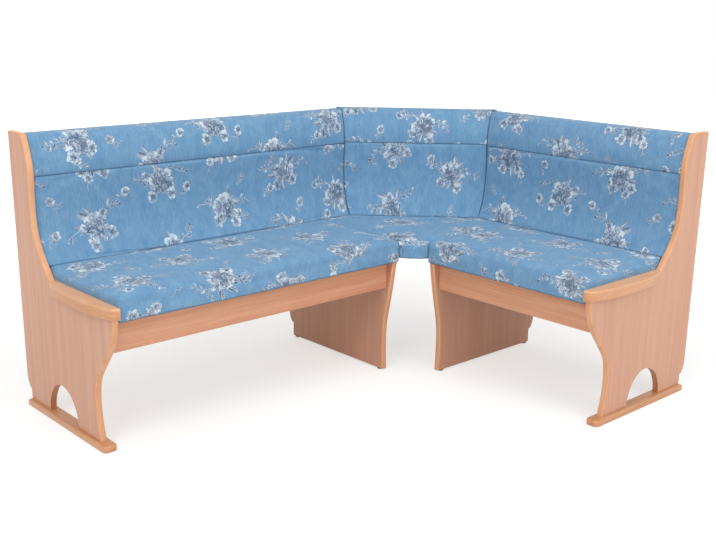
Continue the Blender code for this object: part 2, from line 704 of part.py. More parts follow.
def rounded_plan(corners, radius, spacing=10.0):
    """Points round a convex plan outline with rounded corners and subdivided sides."""
    points = []
    count = len(corners)
    for i, corner in enumerate(corners):
        before, after = corners[i - 1], corners[(i + 1) % count]
        back = [before[k] - corner[k] for k in (0, 1)]
        ahead = [after[k] - corner[k] for k in (0, 1)]
        back_length, ahead_length = math.hypot(*back), math.hypot(*ahead)
        entry = [corner[k] + back[k] / back_length * radius for k in (0, 1)]
        leave = [corner[k] + ahead[k] / ahead_length * radius for k in (0, 1)]
        for t in (0.0, 0.5, 1.0):
            a, b, c = (1 - t) ** 2, 2 * t * (1 - t), t * t
            points.append(tuple(a * entry[k] + b * corner[k] + c * leave[k] for k in (0, 1)))
        straight = ahead_length - 2 * radius
        steps = max(1, round(straight / spacing))
        for s in range(1, steps):
            reach = radius + straight * s / steps
            points.append(tuple(corner[k] + ahead[k] / ahead_length * reach for k in (0, 1)))
    return points


def seat_pad(name, side, corners, spine, underside, is_wrapped, parent):
    """Seat cushion: wrapped round its board except at the rear, with drawn-in sides and a soft crown."""
    outline = rounded_plan(corners, SEAT_PAD_CORNER, 0.055)
    board_top = underside + SEAT_BOARD + GAP
    edge = SEAT_CROWN - SEAT_EDGE_DROP

    def inward(point, distance):
        """Moves an outline point towards the spine, never past it."""
        near = spine(point)
        away = (near[0] - point[0], near[1] - point[1])
        size = math.hypot(*away)
        share = min(distance / size, 1.0)
        return point[0] + away[0] * share, point[1] + away[1] * share

    def ring(distance, height):
        return [(*inward(p, distance), height(p)) for p in outline]

    def blend(share, height):
        return [(*(p[k] + (spine(p)[k] - p[k]) * share for k in (0, 1)), height) for p in outline]

    def hem(point):
        return underside if is_wrapped(point) else board_top

    turned = SEAT_SKIRT + SEAT_TURN_UNDER
    rings = [ring(turned, lambda p: board_top), ring(SEAT_SKIRT, lambda p: board_top)]
    rings += [ring(SEAT_SKIRT * 0.83, hem), ring(SEAT_SKIRT * 0.33, hem)]
    rings += [ring(0.0, lambda p: hem(p) + SEAT_HEM_ROUND), ring(0.0, lambda p: edge - SEAT_EDGE_DROP * 0.55)]
    rings += [ring(SEAT_EDGE_DROP * 0.18, lambda p: edge)]
    rings += [ring(SEAT_EDGE_DROP * 0.64, lambda p: edge + SEAT_EDGE_DROP * 0.36)]
    for share in (0.16, 0.34, 0.62):
        rings.append(blend(share, SEAT_CROWN - SEAT_EDGE_DROP * 0.55 * (1 - share) ** 3.2))
    rings.append(blend(0.85, SEAT_CROWN))
    return Piece(name, side, "fabric").loft(rings).finish_object(parent, smooth=True)


def bench_seat_pad(side, parent):
    low, high = CORNER_SEAT_SIDE + GAP, BENCH_LENGTHS[side] - PANEL - GAP
    rear, front = fabric_front(BACK_PAD_BOTTOM) - BACK_FOAM, SEAT_FRONT
    half = (front - rear) / 2
    corners = [(low, rear), (high, rear), (high, front), (low, front)]

    wrapped = SEAT_PAD_CORNER - GAP

    def spine(point):
        return min(max(point[0], low + half), high - half), rear + half

    return seat_pad(
        f"{side}_seat_pad", side, corners, spine, SEAT_UNDERSIDE, lambda p: p[1] > rear + wrapped, parent
    )


def corner_plan(inset, rear):
    """Corner seat in plan, as (run, depth) across the diagonal: six corners, inset at sides and front."""
    side = CORNER_SEAT_SIDE - inset
    front = CORNER_SEAT_SIDE * ROOT2 - SEAT_CORNER_CUT / ROOT2 - CORNER_BACK_REACH - inset
    front_half = side * ROOT2 - CORNER_BACK_REACH - front
    wing_depth = (side + rear) / ROOT2 - CORNER_BACK_REACH
    wing_half = (side - rear) / ROOT2
    rear_half = CORNER_BACK_REACH - MITRE * rear
    return [
        (-rear_half, rear),
        (rear_half, rear),
        (wing_half, wing_depth),
        (front_half, front),
        (-front_half, front),
        (-wing_half, wing_depth),
    ]


def corner_seat(parent):
    rear = fabric_front(BACK_PAD_BOTTOM) - BACK_FOAM
    corners = corner_plan(GAP, rear)
    front = corners[3][1]
    middle = (0.0, rear + (front - rear) * 0.45)
    side_line = (CORNER_SEAT_SIDE - GAP) * ROOT2 - CORNER_BACK_REACH - GAP
    pad = seat_pad(
        "corner_seat_pad",
        "corner",
        corners,
        lambda p: middle,
        CORNER_UNDERSIDE,
        lambda p: abs(p[0]) + p[1] > side_line or p[1] > front - SEAT_PAD_CORNER,
        parent,
    )
    board = Piece("corner_seat_board", "corner", "plain_board")
    outline = rounded_plan(corner_plan(SEAT_SKIRT + 3 * GAP, BACK_SETBACK), SEAT_BOARD_CORNER)
    board.plan(outline, CORNER_UNDERSIDE, CORNER_UNDERSIDE + SEAT_BOARD)
    return board.finish_object(parent), pad


def joining_plates(boards, parent):
    """Bent steel plates behind the mitres that screw the side backs to the corner back."""
    front = BACK_SETBACK - GAP
    rear = front - PLATE
    outline = []
    for depth in (rear, front):
        start = CORNER_BACK_LEG + MITRE * depth
        across = CORNER_BACK_REACH - MITRE * depth - PLATE_WING
        path = [(start + PLATE_WING, depth), (start, depth), place_on_bench("corner", across, depth)]
        outline += path if depth == rear else path[::-1]
    heights = {"lower": SEAT_CROWN + PLATE_HEIGHT * 1.5, "upper": SIDE_TOP - HEAD_ROLL - PLATE_HEIGHT / 2}
    made = []
    for side, way in (("long", 1), ("short", -1)):
        for level, height in heights.items():
            plate = Piece(f"{side}_{level}_back_plate", side, "steel")
            plate.plan(outline, height - PLATE_HEIGHT / 2, height + PLATE_HEIGHT / 2)
            screws = []
            for share in (0.3, 0.78):
                tip = rear + SCREW_LENGTH
                run = CORNER_BACK_LEG + PLATE_WING * share
                screws.append((side, (run, rear, height), (run, tip, height), f"{side}_back_board"))
                run = way * (CORNER_BACK_REACH - PLATE_WING * share)
                screws.append(("corner", (run, rear, height), (run, tip, height), "corner_back_board"))
            made.append(fasten(plate, screws, boards, parent))
    return made


def bracket_plan(corner, inward, away):
    """Angle in plan from its outer corner, with legs along the run and the depth."""
    thick, leg = PLATE, BRACKET_LEG
    steps = [(0, 0), (leg, 0), (leg, thick), (thick, thick), (thick, leg), (0, leg)]
    return [(corner[0] + inward * run, corner[1] + away * depth) for run, depth in steps]


def seat_brackets(boards, parent):
    """Steel angles that screw the aprons and rear rails to the panels, under the seats."""
    low = APRON_BOTTOM + (APRON_HEIGHT - BRACKET_HEIGHT) / 3
    middle = low + BRACKET_HEIGHT / 2
    made = []
    for side, length in BENCH_LENGTHS.items():
        ends = {"inner": (CORNER_SEAT_SIDE + PANEL, 1), "end": (length - PANEL, -1)}
        rows = {"apron": (APRON_FRONT - APRON, -1), "rear_rail": (BACK_SETBACK + APRON, 1)}
        for end, (run, inward) in ends.items():
            for row, (depth, away) in rows.items():
                corner = (run + inward * GAP, depth + away * GAP)
                bracket = Piece(f"{side}_{end}_{row}_bracket", side, "steel")
                bracket.plan(bracket_plan(corner, inward, away), low, low + BRACKET_HEIGHT)
                reach = BRACKET_LEG * 0.62
                along, out = corner[0] + inward * reach, corner[1] + away * reach
                face = (corner[0] + inward * PLATE, corner[1] + away * PLATE)
                tip = (face[0] - inward * SCREW_LENGTH, face[1] - away * SCREW_LENGTH)
                screws = [
                    (side, (along, face[1], middle), (along, tip[1], middle), f"{side}_{row}"),
                    (side, (face[0], out, middle), (tip[0], out, middle), f"{side}_{end}_panel"),
                ]
                made.append(fasten(bracket, screws, boards, parent))
    return made


def panel_glides(parent):
    """Plastic glides under the inner panels."""
    front = inner_panel_front()(GLIDE) - EDGING - 1.5 * GLIDE_RADIUS
    rear = SKIRTING_DEPTH + 1.5 * GLIDE_RADIUS
    sections = [(0, GLIDE_RADIUS * 0.8), (GLIDE * 0.3, GLIDE_RADIUS), (GLIDE - GAP, GLIDE_RADIUS)]
    made = []
    for side in BENCH_LENGTHS:
        run = CORNER_SEAT_SIDE + PANEL / 2
        for end, depth in (("front", front), ("rear", rear)):
            glide = Piece(f"{side}_{end}_glide", side, "plastic")
            glide.turned((run, depth, 0), (run, depth, GLIDE), sections, 12)
            made.append(glide.finish_object(parent))
    return made


def build():
    clear_scene()
    wall_corner = bpy.data.objects.new("wall_corner", None)
    wall_corner.location = (OVERALL_LENGTH / 2, OVERALL_DEPTH / 2, 0)
    wall_corner.rotation_euler = (0, 0, math.pi)
    bpy.context.collection.objects.link(wall_corner)

    made = []
    for side, length in BENCH_LENGTHS.items():
        start = length - PANEL
        edges = (
            ("end_edging_upper", upper_edge_path(), start, False),
            ("end_edging_lower", lower_edge_path(), start, True),
            ("inner_edging", inner_edge_path(), CORNER_SEAT_SIDE, True),
        )
        for name, path, run, level_ends in edges:
            made.append(edging(f"{side}_{name}", side, path, run, level_ends, wall_corner))
        for maker in (end_panel, arm_moulding, foot_rail, inner_panel, bench_seat_pad):
            made.append(maker(side, wall_corner))
        made.extend(bench_boards(side, wall_corner))
    made.extend(corner_seat(wall_corner))
    for side in ("long", "corner", "short"):
        for maker in (back_board, back_frame, back_skin, back_pad, head_roll):
            made.append(maker(side, wall_corner))
    made.extend(panel_glides(wall_corner))
    drilled = {}
    made.extend(joining_plates(drilled, wall_corner))
    made.extend(seat_brackets(drilled, wall_corner))

    pieces = {piece.name: piece for piece in made}
    for board, holes in drilled.items():
        combine(pieces[board], helper(holes, wall_corner), "DIFFERENCE")


build()
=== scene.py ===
import math

import bmesh
import bpy
from mathutils import Matrix, Vector, noise


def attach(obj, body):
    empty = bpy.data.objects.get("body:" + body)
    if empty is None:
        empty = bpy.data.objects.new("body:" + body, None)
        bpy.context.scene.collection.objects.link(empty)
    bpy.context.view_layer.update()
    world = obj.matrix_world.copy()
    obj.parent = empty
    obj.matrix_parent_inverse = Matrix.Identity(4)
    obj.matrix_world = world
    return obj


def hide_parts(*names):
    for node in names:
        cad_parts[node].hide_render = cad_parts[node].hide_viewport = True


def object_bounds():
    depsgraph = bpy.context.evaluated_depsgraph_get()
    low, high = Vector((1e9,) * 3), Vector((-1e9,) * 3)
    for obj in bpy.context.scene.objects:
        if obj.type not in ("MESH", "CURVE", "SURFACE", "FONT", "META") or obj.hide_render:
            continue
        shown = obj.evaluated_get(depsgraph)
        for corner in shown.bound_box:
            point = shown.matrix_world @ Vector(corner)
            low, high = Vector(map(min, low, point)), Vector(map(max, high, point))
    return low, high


# Corner bench: beech boards and mouldings, padded seats and backs in a printed blue flock.
# Each piece is laid out as run (along a wall, away from the wall corner), depth (out from that wall)
# and height. The corner back has its own depth, measured from its rear face across the diagonal.

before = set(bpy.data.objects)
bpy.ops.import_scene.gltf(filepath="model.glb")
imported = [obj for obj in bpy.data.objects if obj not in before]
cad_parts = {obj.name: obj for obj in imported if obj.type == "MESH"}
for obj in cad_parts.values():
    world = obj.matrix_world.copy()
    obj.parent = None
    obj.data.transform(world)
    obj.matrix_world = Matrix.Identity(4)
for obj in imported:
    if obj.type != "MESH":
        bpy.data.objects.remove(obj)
cadLow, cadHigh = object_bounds()
scene = bpy.context.scene
print("frame loaded:", len(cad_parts), "nodes")

bench = {
    "lengths": {"long": 1.7105, "short": 1.2924},
    "cornerSide": 0.635,
    "cornerCut": 0.065,
    "cornerReach": 0.306,
    "height": 0.860,
    "seatFront": 0.570,
    "seatUnderside": 0.397,
    "cornerUnderside": 0.410,
    "crown": 0.475,
    "panel": 0.020,
    "board": 0.016,
    "backSetback": 0.008,
    "gap": 0.0003,
}
panelStart = {side: length - bench["panel"] for side, length in bench["lengths"].items()}
gap = bench["gap"]
mitre = math.tan(math.radians(22.5))
root2 = math.sqrt(2)


def onBench(side, run, depth, height):
    if side == "long":
        x, y = run, depth
    elif side == "short":
        x, y = depth, run
    else:
        reach = bench["cornerReach"] + depth
        x, y = (reach + run) / root2, (reach - run) / root2
    return Vector((cadHigh.x - x, cadHigh.y - y, height))


def within(value, low, high):
    return min(max(value, low), high)


def smoothLine(knots):
    def slope(i):
        low, high = knots[max(i - 1, 0)], knots[min(i + 1, len(knots) - 1)]
        return (high[1] - low[1]) / (high[0] - low[0])

    def value(x):
        i = 0
        while i < len(knots) - 2 and x > knots[i + 1][0]:
            i += 1
        (x0, y0), (x1, y1) = knots[i], knots[i + 1]
        span = x1 - x0
        t = within((x - x0) / span, 0.0, 1.0)
        start = (2 * t**3 - 3 * t**2 + 1) * y0 + (t**3 - 2 * t**2 + t) * span * slope(i)
        return start + (3 * t**2 - 2 * t**3) * y1 + (t**3 - t**2) * span * slope(i + 1)

    return value


def spread(start, end, count):
    return [start + (end - start) * i / (count - 1) for i in range(count)]


def arc(centre, radii, start, end, count):
    angles = spread(math.radians(start), math.radians(end), count)
    return [(centre[0] + radii[0] * math.cos(a), centre[1] + radii[1] * math.sin(a)) for a in angles]


def quarter(turn, count):
    # A quarter round: how far each of its points lies along one side and along the other
    angles = spread(0, math.pi / 2, count)
    return [(turn * (1 - math.cos(a)), turn * (1 - math.sin(a))) for a in angles]


def ease(value, low, high):
    t = within((value - low) / (high - low), 0.0, 1.0)
    return t * t * (3 - 2 * t)


def offsetPath(path, distance, levelEnds=False):
    moved = []
    for i, point in enumerate(path):
        before, after = path[max(i - 1, 0)], path[min(i + 1, len(path) - 1)]
        ahead = (after[0] - before[0], after[1] - before[1])
        length = math.hypot(*ahead)
        moved.append((point[0] + ahead[1] / length * distance, point[1] - ahead[0] / length * distance))
    if levelEnds:
        moved[0], moved[-1] = (moved[0][0], path[0][1]), (moved[-1][0], path[-1][1])
    return moved


cameraView = {  # the photograph's: it looks along a heading, tilted down and rolled a little
    "place": (-2.10299, -2.26270, 1.24381),
    "heading": 47.588,
    "tilt": 16.045,
    "roll": 0.759,
    "lens": 51.096,
    "shiftUp": 0.0306,
}


def makeCamera():
    data = bpy.data.cameras.new("photoCamera")
    data.sensor_width, data.lens, data.shift_y = 36, cameraView["lens"], cameraView["shiftUp"]
    data.clip_start, data.clip_end = 0.1, 60
    heading, tilt, roll = (math.radians(cameraView[k]) for k in ("heading", "tilt", "roll"))
    ahead = Vector((math.cos(heading) * math.cos(tilt), math.sin(heading) * math.cos(tilt), -math.sin(tilt)))
    right = ahead.cross(Vector((0, 0, 1))).normalized()
    up = right.cross(ahead)
    rolledRight = right * math.cos(roll) + up * math.sin(roll)
    rolledUp = up * math.cos(roll) - right * math.sin(roll)
    turn = Matrix((rolledRight, rolledUp, -ahead)).transposed().to_4x4()
    camera = bpy.data.objects.new("photoCamera", data)
    camera.matrix_world = Matrix.Translation(cameraView["place"]) @ turn
    scene.collection.objects.link(camera)
    scene.camera = camera


def tint(code):  # "#rrggbb" as the linear colour that Blender's sockets take
    parts = [int(code[i : i + 2], 16) / 255 for i in (1, 3, 5)]
    return tuple(c / 12.92 if c <= 0.04045 else ((c + 0.055) / 1.055) ** 2.4 for c in parts) + (1.0,)


def sign(operation):
    return lambda *values: calc(operation, *values)


class Wire:
    # A node's output. Arithmetic on it adds a Math node, or a Vector Math node for vectors and colours.
    def __init__(self, socket):
        self.socket, self.tree = socket, socket.id_data
        self.isVector = socket.type in ("VECTOR", "RGBA")

    __add__, __sub__, __mul__, __truediv__ = sign("ADD"), sign("SUBTRACT"), sign("MULTIPLY"), sign("DIVIDE")
    __gt__, __lt__, __abs__ = sign("GREATER_THAN"), sign("LESS_THAN"), sign("ABSOLUTE")

    def __rsub__(self, other):
        return calc("SUBTRACT", other, self)


def newNode(kind, *values):  # in the tree that the values' wires belong to
    return next(v.tree for v in values if isinstance(v, Wire)).nodes.new("ShaderNode" + kind)


def plug(socket, value):
    if isinstance(value, Wire):
        value.tree.links.new(value.socket, socket)
    else:
        socket.default_value = value


def plugAll(sockets, values):
    for socket, value in zip(sockets, values):
        plug(socket, value)


def plugNamed(node, **values):
    for name, value in values.items():
        plug(node.inputs[name.replace("_", " ")], value)


def calc(operation, *values, clamp=False):
    vectors = [v.isVector if isinstance(v, Wire) else isinstance(v, tuple) for v in values]
    node = newNode("VectorMath" if any(vectors) else "Math", *values)
    if operation == "MULTIPLY" and any(vectors) and not all(vectors):
        operation = "SCALE"
    node.operation = operation
    if clamp:
        node.use_clamp = True
    plugAll([node.inputs[0], node.inputs[3]] if operation == "SCALE" else node.inputs, values)
    return Wire(node.outputs["Vector" if any(vectors) and operation != "LENGTH" else "Value"])


def larger(first, second):
    return calc("MAXIMUM", first, second)


def fade(value, start, end):  # smoothly 0 at start and 1 at end
    node = newNode("MapRange", value, start, end)
    node.interpolation_type = "SMOOTHSTEP"
    plugNamed(node, Value=value, From_Min=start, From_Max=end)
    return Wire(node.outputs[0])


def noiseAt(vector, scale=1.0, detail=2.0, rough=0.5, output="Fac"):
    node = newNode("TexNoise", vector)
    plugNamed(node, Vector=vector, Scale=scale, Detail=detail, Roughness=rough)
    return Wire(node.outputs[output])


def shaken(vector, source, scale, detail, amount):  # the vector, moved about by the noise at the source
    return vector + (noiseAt(source, scale, detail, output="Color") - (0.5, 0.5, 0.5)) * amount


def mixColour(factor, low, high):
    node = newNode("Mix", factor, low, high)
    node.data_type = "RGBA"
    plugAll([node.inputs[i] for i in (0, 6, 7)], (factor, low, high))
    return Wire(node.outputs[2])


def mixValue(factor, low, high):
    node = newNode("Mix", factor, low, high)
    plugAll([node.inputs[i] for i in (0, 2, 3)], (factor, low, high))
    return Wire(node.outputs[0])


def join(x, y, z=0.0):
    node = newNode("CombineXYZ", x, y, z)
    plugAll(node.inputs, (x, y, z))
    return Wire(node.outputs[0])


def split(vector):
    node = newNode("SeparateXYZ", vector)
    plug(node.inputs[0], vector)
    return [Wire(socket) for socket in node.outputs]


def randomAt(vector):
    node = newNode("TexWhiteNoise", vector)
    plug(node.inputs["Vector"], vector)
    return split(Wire(node.outputs["Color"]))


def ownPlace(tree):  # a piece's own coordinates, in metres
    return Wire(tree.nodes.new("ShaderNodeTexCoord").outputs["Object"])


socketKinds = dict.fromkeys(("Vector", "Local"), "Vector")
socketKinds |= dict.fromkeys(("Color", "Light", "Dark", "Fleck"), "Color")


def newGroup(name, inputs, outputs):
    tree = bpy.data.node_groups.new(name, "ShaderNodeTree")
    for way, labels in (("INPUT", inputs), ("OUTPUT", outputs)):
        for label in labels.split():
            kind = "NodeSocket" + socketKinds.get(label, "Float")
            tree.interface.new_socket(label, in_out=way, socket_type=kind)
    given = {socket.name: Wire(socket) for socket in tree.nodes.new("NodeGroupInput").outputs if socket.name}
    return tree, given, tree.nodes.new("NodeGroupOutput")


def useGroup(group, **values):
    node = newNode("Group", *values.values())
    node.node_tree = group
    plugNamed(node, **values)
    return {socket.name: Wire(socket) for socket in node.outputs}


def beechGrainGroup():
    # Long soft streaks, fine lines and short flecks that run along the vector's Z
    tree, given, out = newGroup("beechGrain", "Vector Light Dark Fleck", "Color Roughness Height")
    place = given["Vector"]
    line = shaken(place, place * (5, 5, 1.3), 1.0, 1, 0.016)
    broad = noiseAt(line * (38, 38, 1.1), detail=4, rough=0.6)
    fine = noiseAt(line * (330, 330, 6))
    tone = fade(broad * 0.62 + fine * 0.38, 0.34, 0.66)
    fleck = fade(noiseAt(line * (1150, 1150, 130), detail=1), 0.60, 0.72)
    colour = mixColour(tone, given["Dark"], given["Light"])
    colour = mixColour(fleck * 0.35, colour, given["Fleck"])
    plugNamed(out, Color=colour, Roughness=mixValue(tone, 0.47, 0.38), Height=fine * 0.5 - fleck * 0.5)
    return tree


def chipGroup():
    # Pressed wood chips of mixed size and colour
    tree, given, out = newGroup("pressedChips", "Vector Light Dark", "Color Height")
    place = given["Vector"]
    cells = tree.nodes.new("ShaderNodeTexVoronoi")
    plugNamed(cells, Vector=shaken(place, place, 90, 2, 0.004), Scale=330)
    tone = split(Wire(cells.outputs["Color"]))[0] * 0.6 + noiseAt(place, 24, 3) * 0.4
    colour = mixColour(tone, given["Dark"], given["Light"])
    plugNamed(out, Color=colour, Height=Wire(cells.outputs["Distance"]))
    return tree


printColours = {
    "dark": "#465a6c",
    "mauve": "#868da0",
    "pale": "#a8b6c2",
    "cream": "#d2dcdf",
    "rust": "#9c8e98",
}


def petalGroup(name, rings, lean):
    # Rings of petals round the origin, in units of the bloom's radius. Tone goes from 0, dark, to 1, cream.
    # A ring is its number of petals, its reach, its tone at their roots and at their tips, and a turn.
    tree, given, out = newGroup(name, "Vector Seed", "Mask Tone")
    place, seed = given["Vector"], given["Seed"]
    bent = shaken(place, place + join(seed, seed * 1.7), 1.9, 2, (0.75, 0.75, 0))
    x, y, _ = split(bent)
    radius, angle = calc("LENGTH", bent), calc("ARCTAN2", y, x)
    around = calc("NORMALIZE", bent + (0.0, 0.55, 0.0)) * 9.0  # the strokes fan out from below the middle
    strokes = (noiseAt(around + join(0.0, seed, radius * 1.3), 1.5, 3, 0.75) - 0.5) * 2.3
    light = y * lean  # petals that face up are paler
    mask, tone = 0.0, 0.0
    for count, reach, root, tip, turn in rings:
        wave = angle * (count / 2) + turn
        petal = calc("FLOORED_MODULO", calc("FLOOR", wave * (1 / math.pi) + 0.5), float(count))
        first, second, _ = randomAt(join(petal, seed, turn))
        lobe = abs(calc("COSINE", wave))
        edge = (first * (0.28 * reach) + 0.78 * reach) * (calc("POWER", lobe, 0.4) * 0.34 + 0.66)
        inside = fade(radius, edge, edge - 0.07)
        outward = fade(radius / edge, 0.25, 1.0)
        ringTone = outward * (tip - root) + root + (second * 0.62 - 0.31) + strokes + light
        line = larger(fade(radius, edge - 0.09, edge - 0.02), fade(lobe, 0.36, 0.10))
        shadow = fade(radius, edge + 0.14, edge) * 0.22
        tone = mixValue(inside, calc("SUBTRACT", tone, shadow), ringTone - line * 0.62)
        mask = larger(mask, inside)
    plugNamed(out, Mask=mask, Tone=tone)
    return tree


def leafShape(aside, share, random, width, least, fullness, soft):
    # Half of the leaf's width at a share of its length, and how much a point lies within it
    belly = calc("POWER", calc("SINE", share * math.pi, clamp=True), fullness)
    half = belly * (random * (width * 0.7) + width * least)
    return half, fade(abs(aside), half, half - soft) * (share > 0.0) * (share < 1.0)


def leafTone(aside, half, share, base, seed, width):
    # A lit and a shaded half, veins, and a rib and rim that are dark on pale leaves and pale on dark ones
    away = abs(aside)
    rim = fade(away, half - width * 0.40, half - width * 0.15)
    rib = fade(away, width * 0.16, width * 0.05)
    veins = noiseAt(join(away * -14.0 + share * 5.0, base, seed), 2.0)
    tone = base + mixValue(fade(aside, -0.03, 0.03), -0.22, 0.24) + (veins - 0.5) * 1.5
    return mixValue(larger(rim, rib), tone, 0.70 - base * 0.85)


def leafRingGroup(name, count, start, length, width):
    # Leaves spaced round the origin, each a little different
    tree, given, out = newGroup(name, "Vector Seed", "Mask Tone")
    x, y, _ = split(given["Vector"])
    radius, seed = calc("LENGTH", given["Vector"]), given["Seed"]
    angle = calc("ARCTAN2", y, x) + seed
    step = 2 * math.pi / count
    sector = calc("ROUND", angle / step)
    local = angle - sector * step
    sector = calc("FLOORED_MODULO", sector, float(count))
    first, second, third = randomAt(join(sector, seed, float(count)))
    local = local + (second - 0.5) * 0.4
    forward = radius * calc("COSINE", local) - start
    aside = radius * calc("SINE", local) - forward * forward * ((first - 0.5) * 1.1)
    share = forward / (first * (length * 0.55) + length * 0.65)
    half, inLeaf = leafShape(aside, share, second, width, 0.65, 0.6, 0.05)
    base = third * 1.2 - 0.35  # some leaves are dark and some pale
    plugNamed(out, Mask=inLeaf * (third > 0.18), Tone=leafTone(aside, half, share, base, seed, width))
    return tree


def twigGroup(name, step, leaf, width, stem):
    # A curved stem along X from -1 to 1, with leaves on either side in turn
    tree, given, out = newGroup(name, "Vector Seed", "Mask Tone")
    x, y, _ = split(given["Vector"])
    seed = given["Seed"]
    first, second, _ = randomAt(join(seed, 3.0, 5.0))
    y = y - x * x * (first * 0.8 - 0.4) - calc("SINE", x * 2.6) * (second * 0.4 - 0.2)
    away, below = abs(y), y < 0.0
    shift = below * (step / 2)
    number = calc("ROUND", (away * -0.8 + x - shift) / step)  # leaves lean forward
    foot = number * step + shift
    fromMiddle = abs(foot)
    first, second, third = randomAt(join(number, below, seed))
    ahead = x - foot
    along = ahead * 0.62 + away * 0.785
    aside = ahead * -0.785 + away * 0.62
    share = along / ((first * (leaf * 0.5) + leaf * 0.7) * (fromMiddle * -0.5 + 1.15))
    half, inLeaf = leafShape(aside, share, second, width, 0.7, 0.7, 0.04)
    inLeaf = inLeaf * (fromMiddle < 1.02) * (third > 0.2)
    onStem = fade(away, stem, stem * 0.4) * (abs(x) < 1.0)
    tone = leafTone(aside, half, share, third * 1.3 - 0.45, seed, width)
    plugNamed(out, Mask=larger(inLeaf, onStem), Tone=mixValue(inLeaf, 0.74, tone))
    return tree


def printLayoutGroup():
    # Half-drop layout of the print: a point's place in its motif, and three random numbers of the motif
    tree, given, out = newGroup("printLayout", "Vector Width Height Stray Turn Seed", "Local First Second Third")
    x, y, _ = split(given["Vector"])
    across = x / given["Width"]
    column = calc("FLOOR", across)
    upward = y / given["Height"] + calc("FLOORED_MODULO", column, 2.0) * 0.5
    row = calc("FLOOR", upward)
    numbers = randomAt(join(column, row, given["Seed"]))
    inX = (across - column - 0.5) * given["Width"] + (numbers[0] - 0.5) * given["Stray"]
    inY = (upward - row - 0.5) * given["Height"] + (numbers[1] - 0.5) * given["Stray"]
    turn = (numbers[2] - 0.5) * given["Turn"]
    sine, cosine = calc("SINE", turn), calc("COSINE", turn)
    plugAll(out.inputs, (join(inX * cosine - inY * sine, inX * sine + inY * cosine), *numbers))
    return tree


floralPrint = {
    "bloomCell": (0.250, 0.205),
    "bloomRadius": 0.043,
    "blossomRadius": 0.021,
    "bloomRings": (
        (9, 1.20, 0.40, 0.84, 0.3),
        (15, 0.98, 0.32, 0.56, 1.1),
        (12, 0.74, 0.28, 0.52, 2.0),
        (8, 0.42, 0.20, 0.46, 0.6),
    ),
    "blossomRings": ((6, 1.06, 0.44, 0.90, 0.4), (4, 0.45, 0.05, 0.56, 1.3)),
    "blossoms": ((-0.95, -0.85), (0.72, -1.10)),  # round a bloom, in its radii
    "twigs": ((1.55, 0.45, -0.30), (-1.50, 0.55, 2.80)),  # the same, with a turn
    "twigLength": 0.038,  # half of it, as of the small sprigs'
    "sprigCell": (0.118, 0.110),
    "sprigLength": 0.022,
    "sprigsShown": 0.60,  # share of the sprigs' places that are filled
    "stray": 0.026,
    "turn": 1.3,
    "wander": 0.008,  # how unsteady the drawing is
}


def floralGroup():
    # Large blooms with leaves, twigs and side blossoms, and small sprigs between them
    values = floralPrint
    layout = printLayoutGroup()
    bloom = petalGroup("bloomPrint", values["bloomRings"], 0.22)
    blossom = petalGroup("blossomPrint", values["blossomRings"], 0.10)
    leaves = leafRingGroup("leafPrint", 9, 0.70, 0.88, 0.25)
    twig = twigGroup("twigPrint", 0.50, 0.52, 0.17, 0.032)
    sprig = twigGroup("sprigPrint", 0.56, 0.72, 0.23, 0.050)
    tree, given, out = newGroup("floralPrint", "Vector", "Mask Color")

    def placed(place, at, size, turn=0.0):  # coordinates of a smaller motif beside a larger one
        moved = place - (*at, 0)
        if turn:
            node = newNode("VectorRotate", moved)
            node.rotation_type = "Z_AXIS"
            plugNamed(node, Vector=moved, Angle=-turn)
            moved = Wire(node.outputs[0])
        return moved * (1 / size)

    def laid(parts, mask, tone, shown=1.0):  # lays a part over what is already printed
        cover = parts["Mask"] * shown
        return larger(mask, cover), mixValue(cover, tone, parts["Tone"])

    cut = given["Vector"]
    drawn = shaken(cut, cut, 55, 2, (values["wander"], values["wander"], 0))
    wide, high = values["sprigCell"]
    shifted = drawn + (0.061, 0.037, 0)
    cell = useGroup(layout, Vector=shifted, Width=wide, Height=high, Stray=0.030, Turn=6.28, Seed=4.0)
    place = cell["Local"] * (1 / values["sprigLength"])
    seed = cell["First"] * 9.0
    mask, tone = laid(useGroup(sprig, Vector=place, Seed=seed), 0.0, 0.5)
    near = placed(place, (-0.7, 0.0), values["blossomRadius"] / values["sprigLength"] * 0.8)
    mask, tone = laid(useGroup(blossom, Vector=near, Seed=seed), mask, tone, cell["Third"] > 0.45)
    mask = mask * (cell["Second"] < values["sprigsShown"])

    wide, high = values["bloomCell"]
    stray, turn = values["stray"], values["turn"]
    cell = useGroup(layout, Vector=drawn, Width=wide, Height=high, Stray=stray, Turn=turn, Seed=1.0)
    side = (cell["First"] > 0.5) * 2.0 - 1.0  # half of the blooms are mirrored
    place = cell["Local"] * (1 / values["bloomRadius"]) * join(side, 1.0, 1.0)
    seed = cell["Third"] * 7.0
    for x, y, turn in values["twigs"]:
        near = placed(place, (x, y), values["twigLength"] / values["bloomRadius"], turn)
        mask, tone = laid(useGroup(twig, Vector=near, Seed=seed + x), mask, tone)
    mask, tone = laid(useGroup(leaves, Vector=place, Seed=seed), mask, tone)
    for x, y in values["blossoms"]:
        near = placed(place, (x, y), values["blossomRadius"] / values["bloomRadius"])
        mask, tone = laid(useGroup(blossom, Vector=near, Seed=seed + x), mask, tone)
    mask, tone = laid(useGroup(bloom, Vector=place, Seed=seed), mask, tone)

    patchy = noiseAt(cut, 240)
    tone = tone + (patchy - 0.5) * 0.6
    colour = tint(printColours["dark"])
    for name, start, end in (("mauve", -0.05, 0.32), ("pale", 0.28, 0.62), ("cream", 0.58, 0.98)):
        colour = mixColour(fade(tone, start, end), colour, tint(printColours[name]))
    warm = fade(noiseAt(cut, 17, 1), 0.54, 0.68)
    colour = mixColour(warm * 0.24, colour, tint(printColours["rust"]))
    plugNamed(out, Mask=mask * fade(patchy, 0.20, 0.44), Color=colour)
    return tree


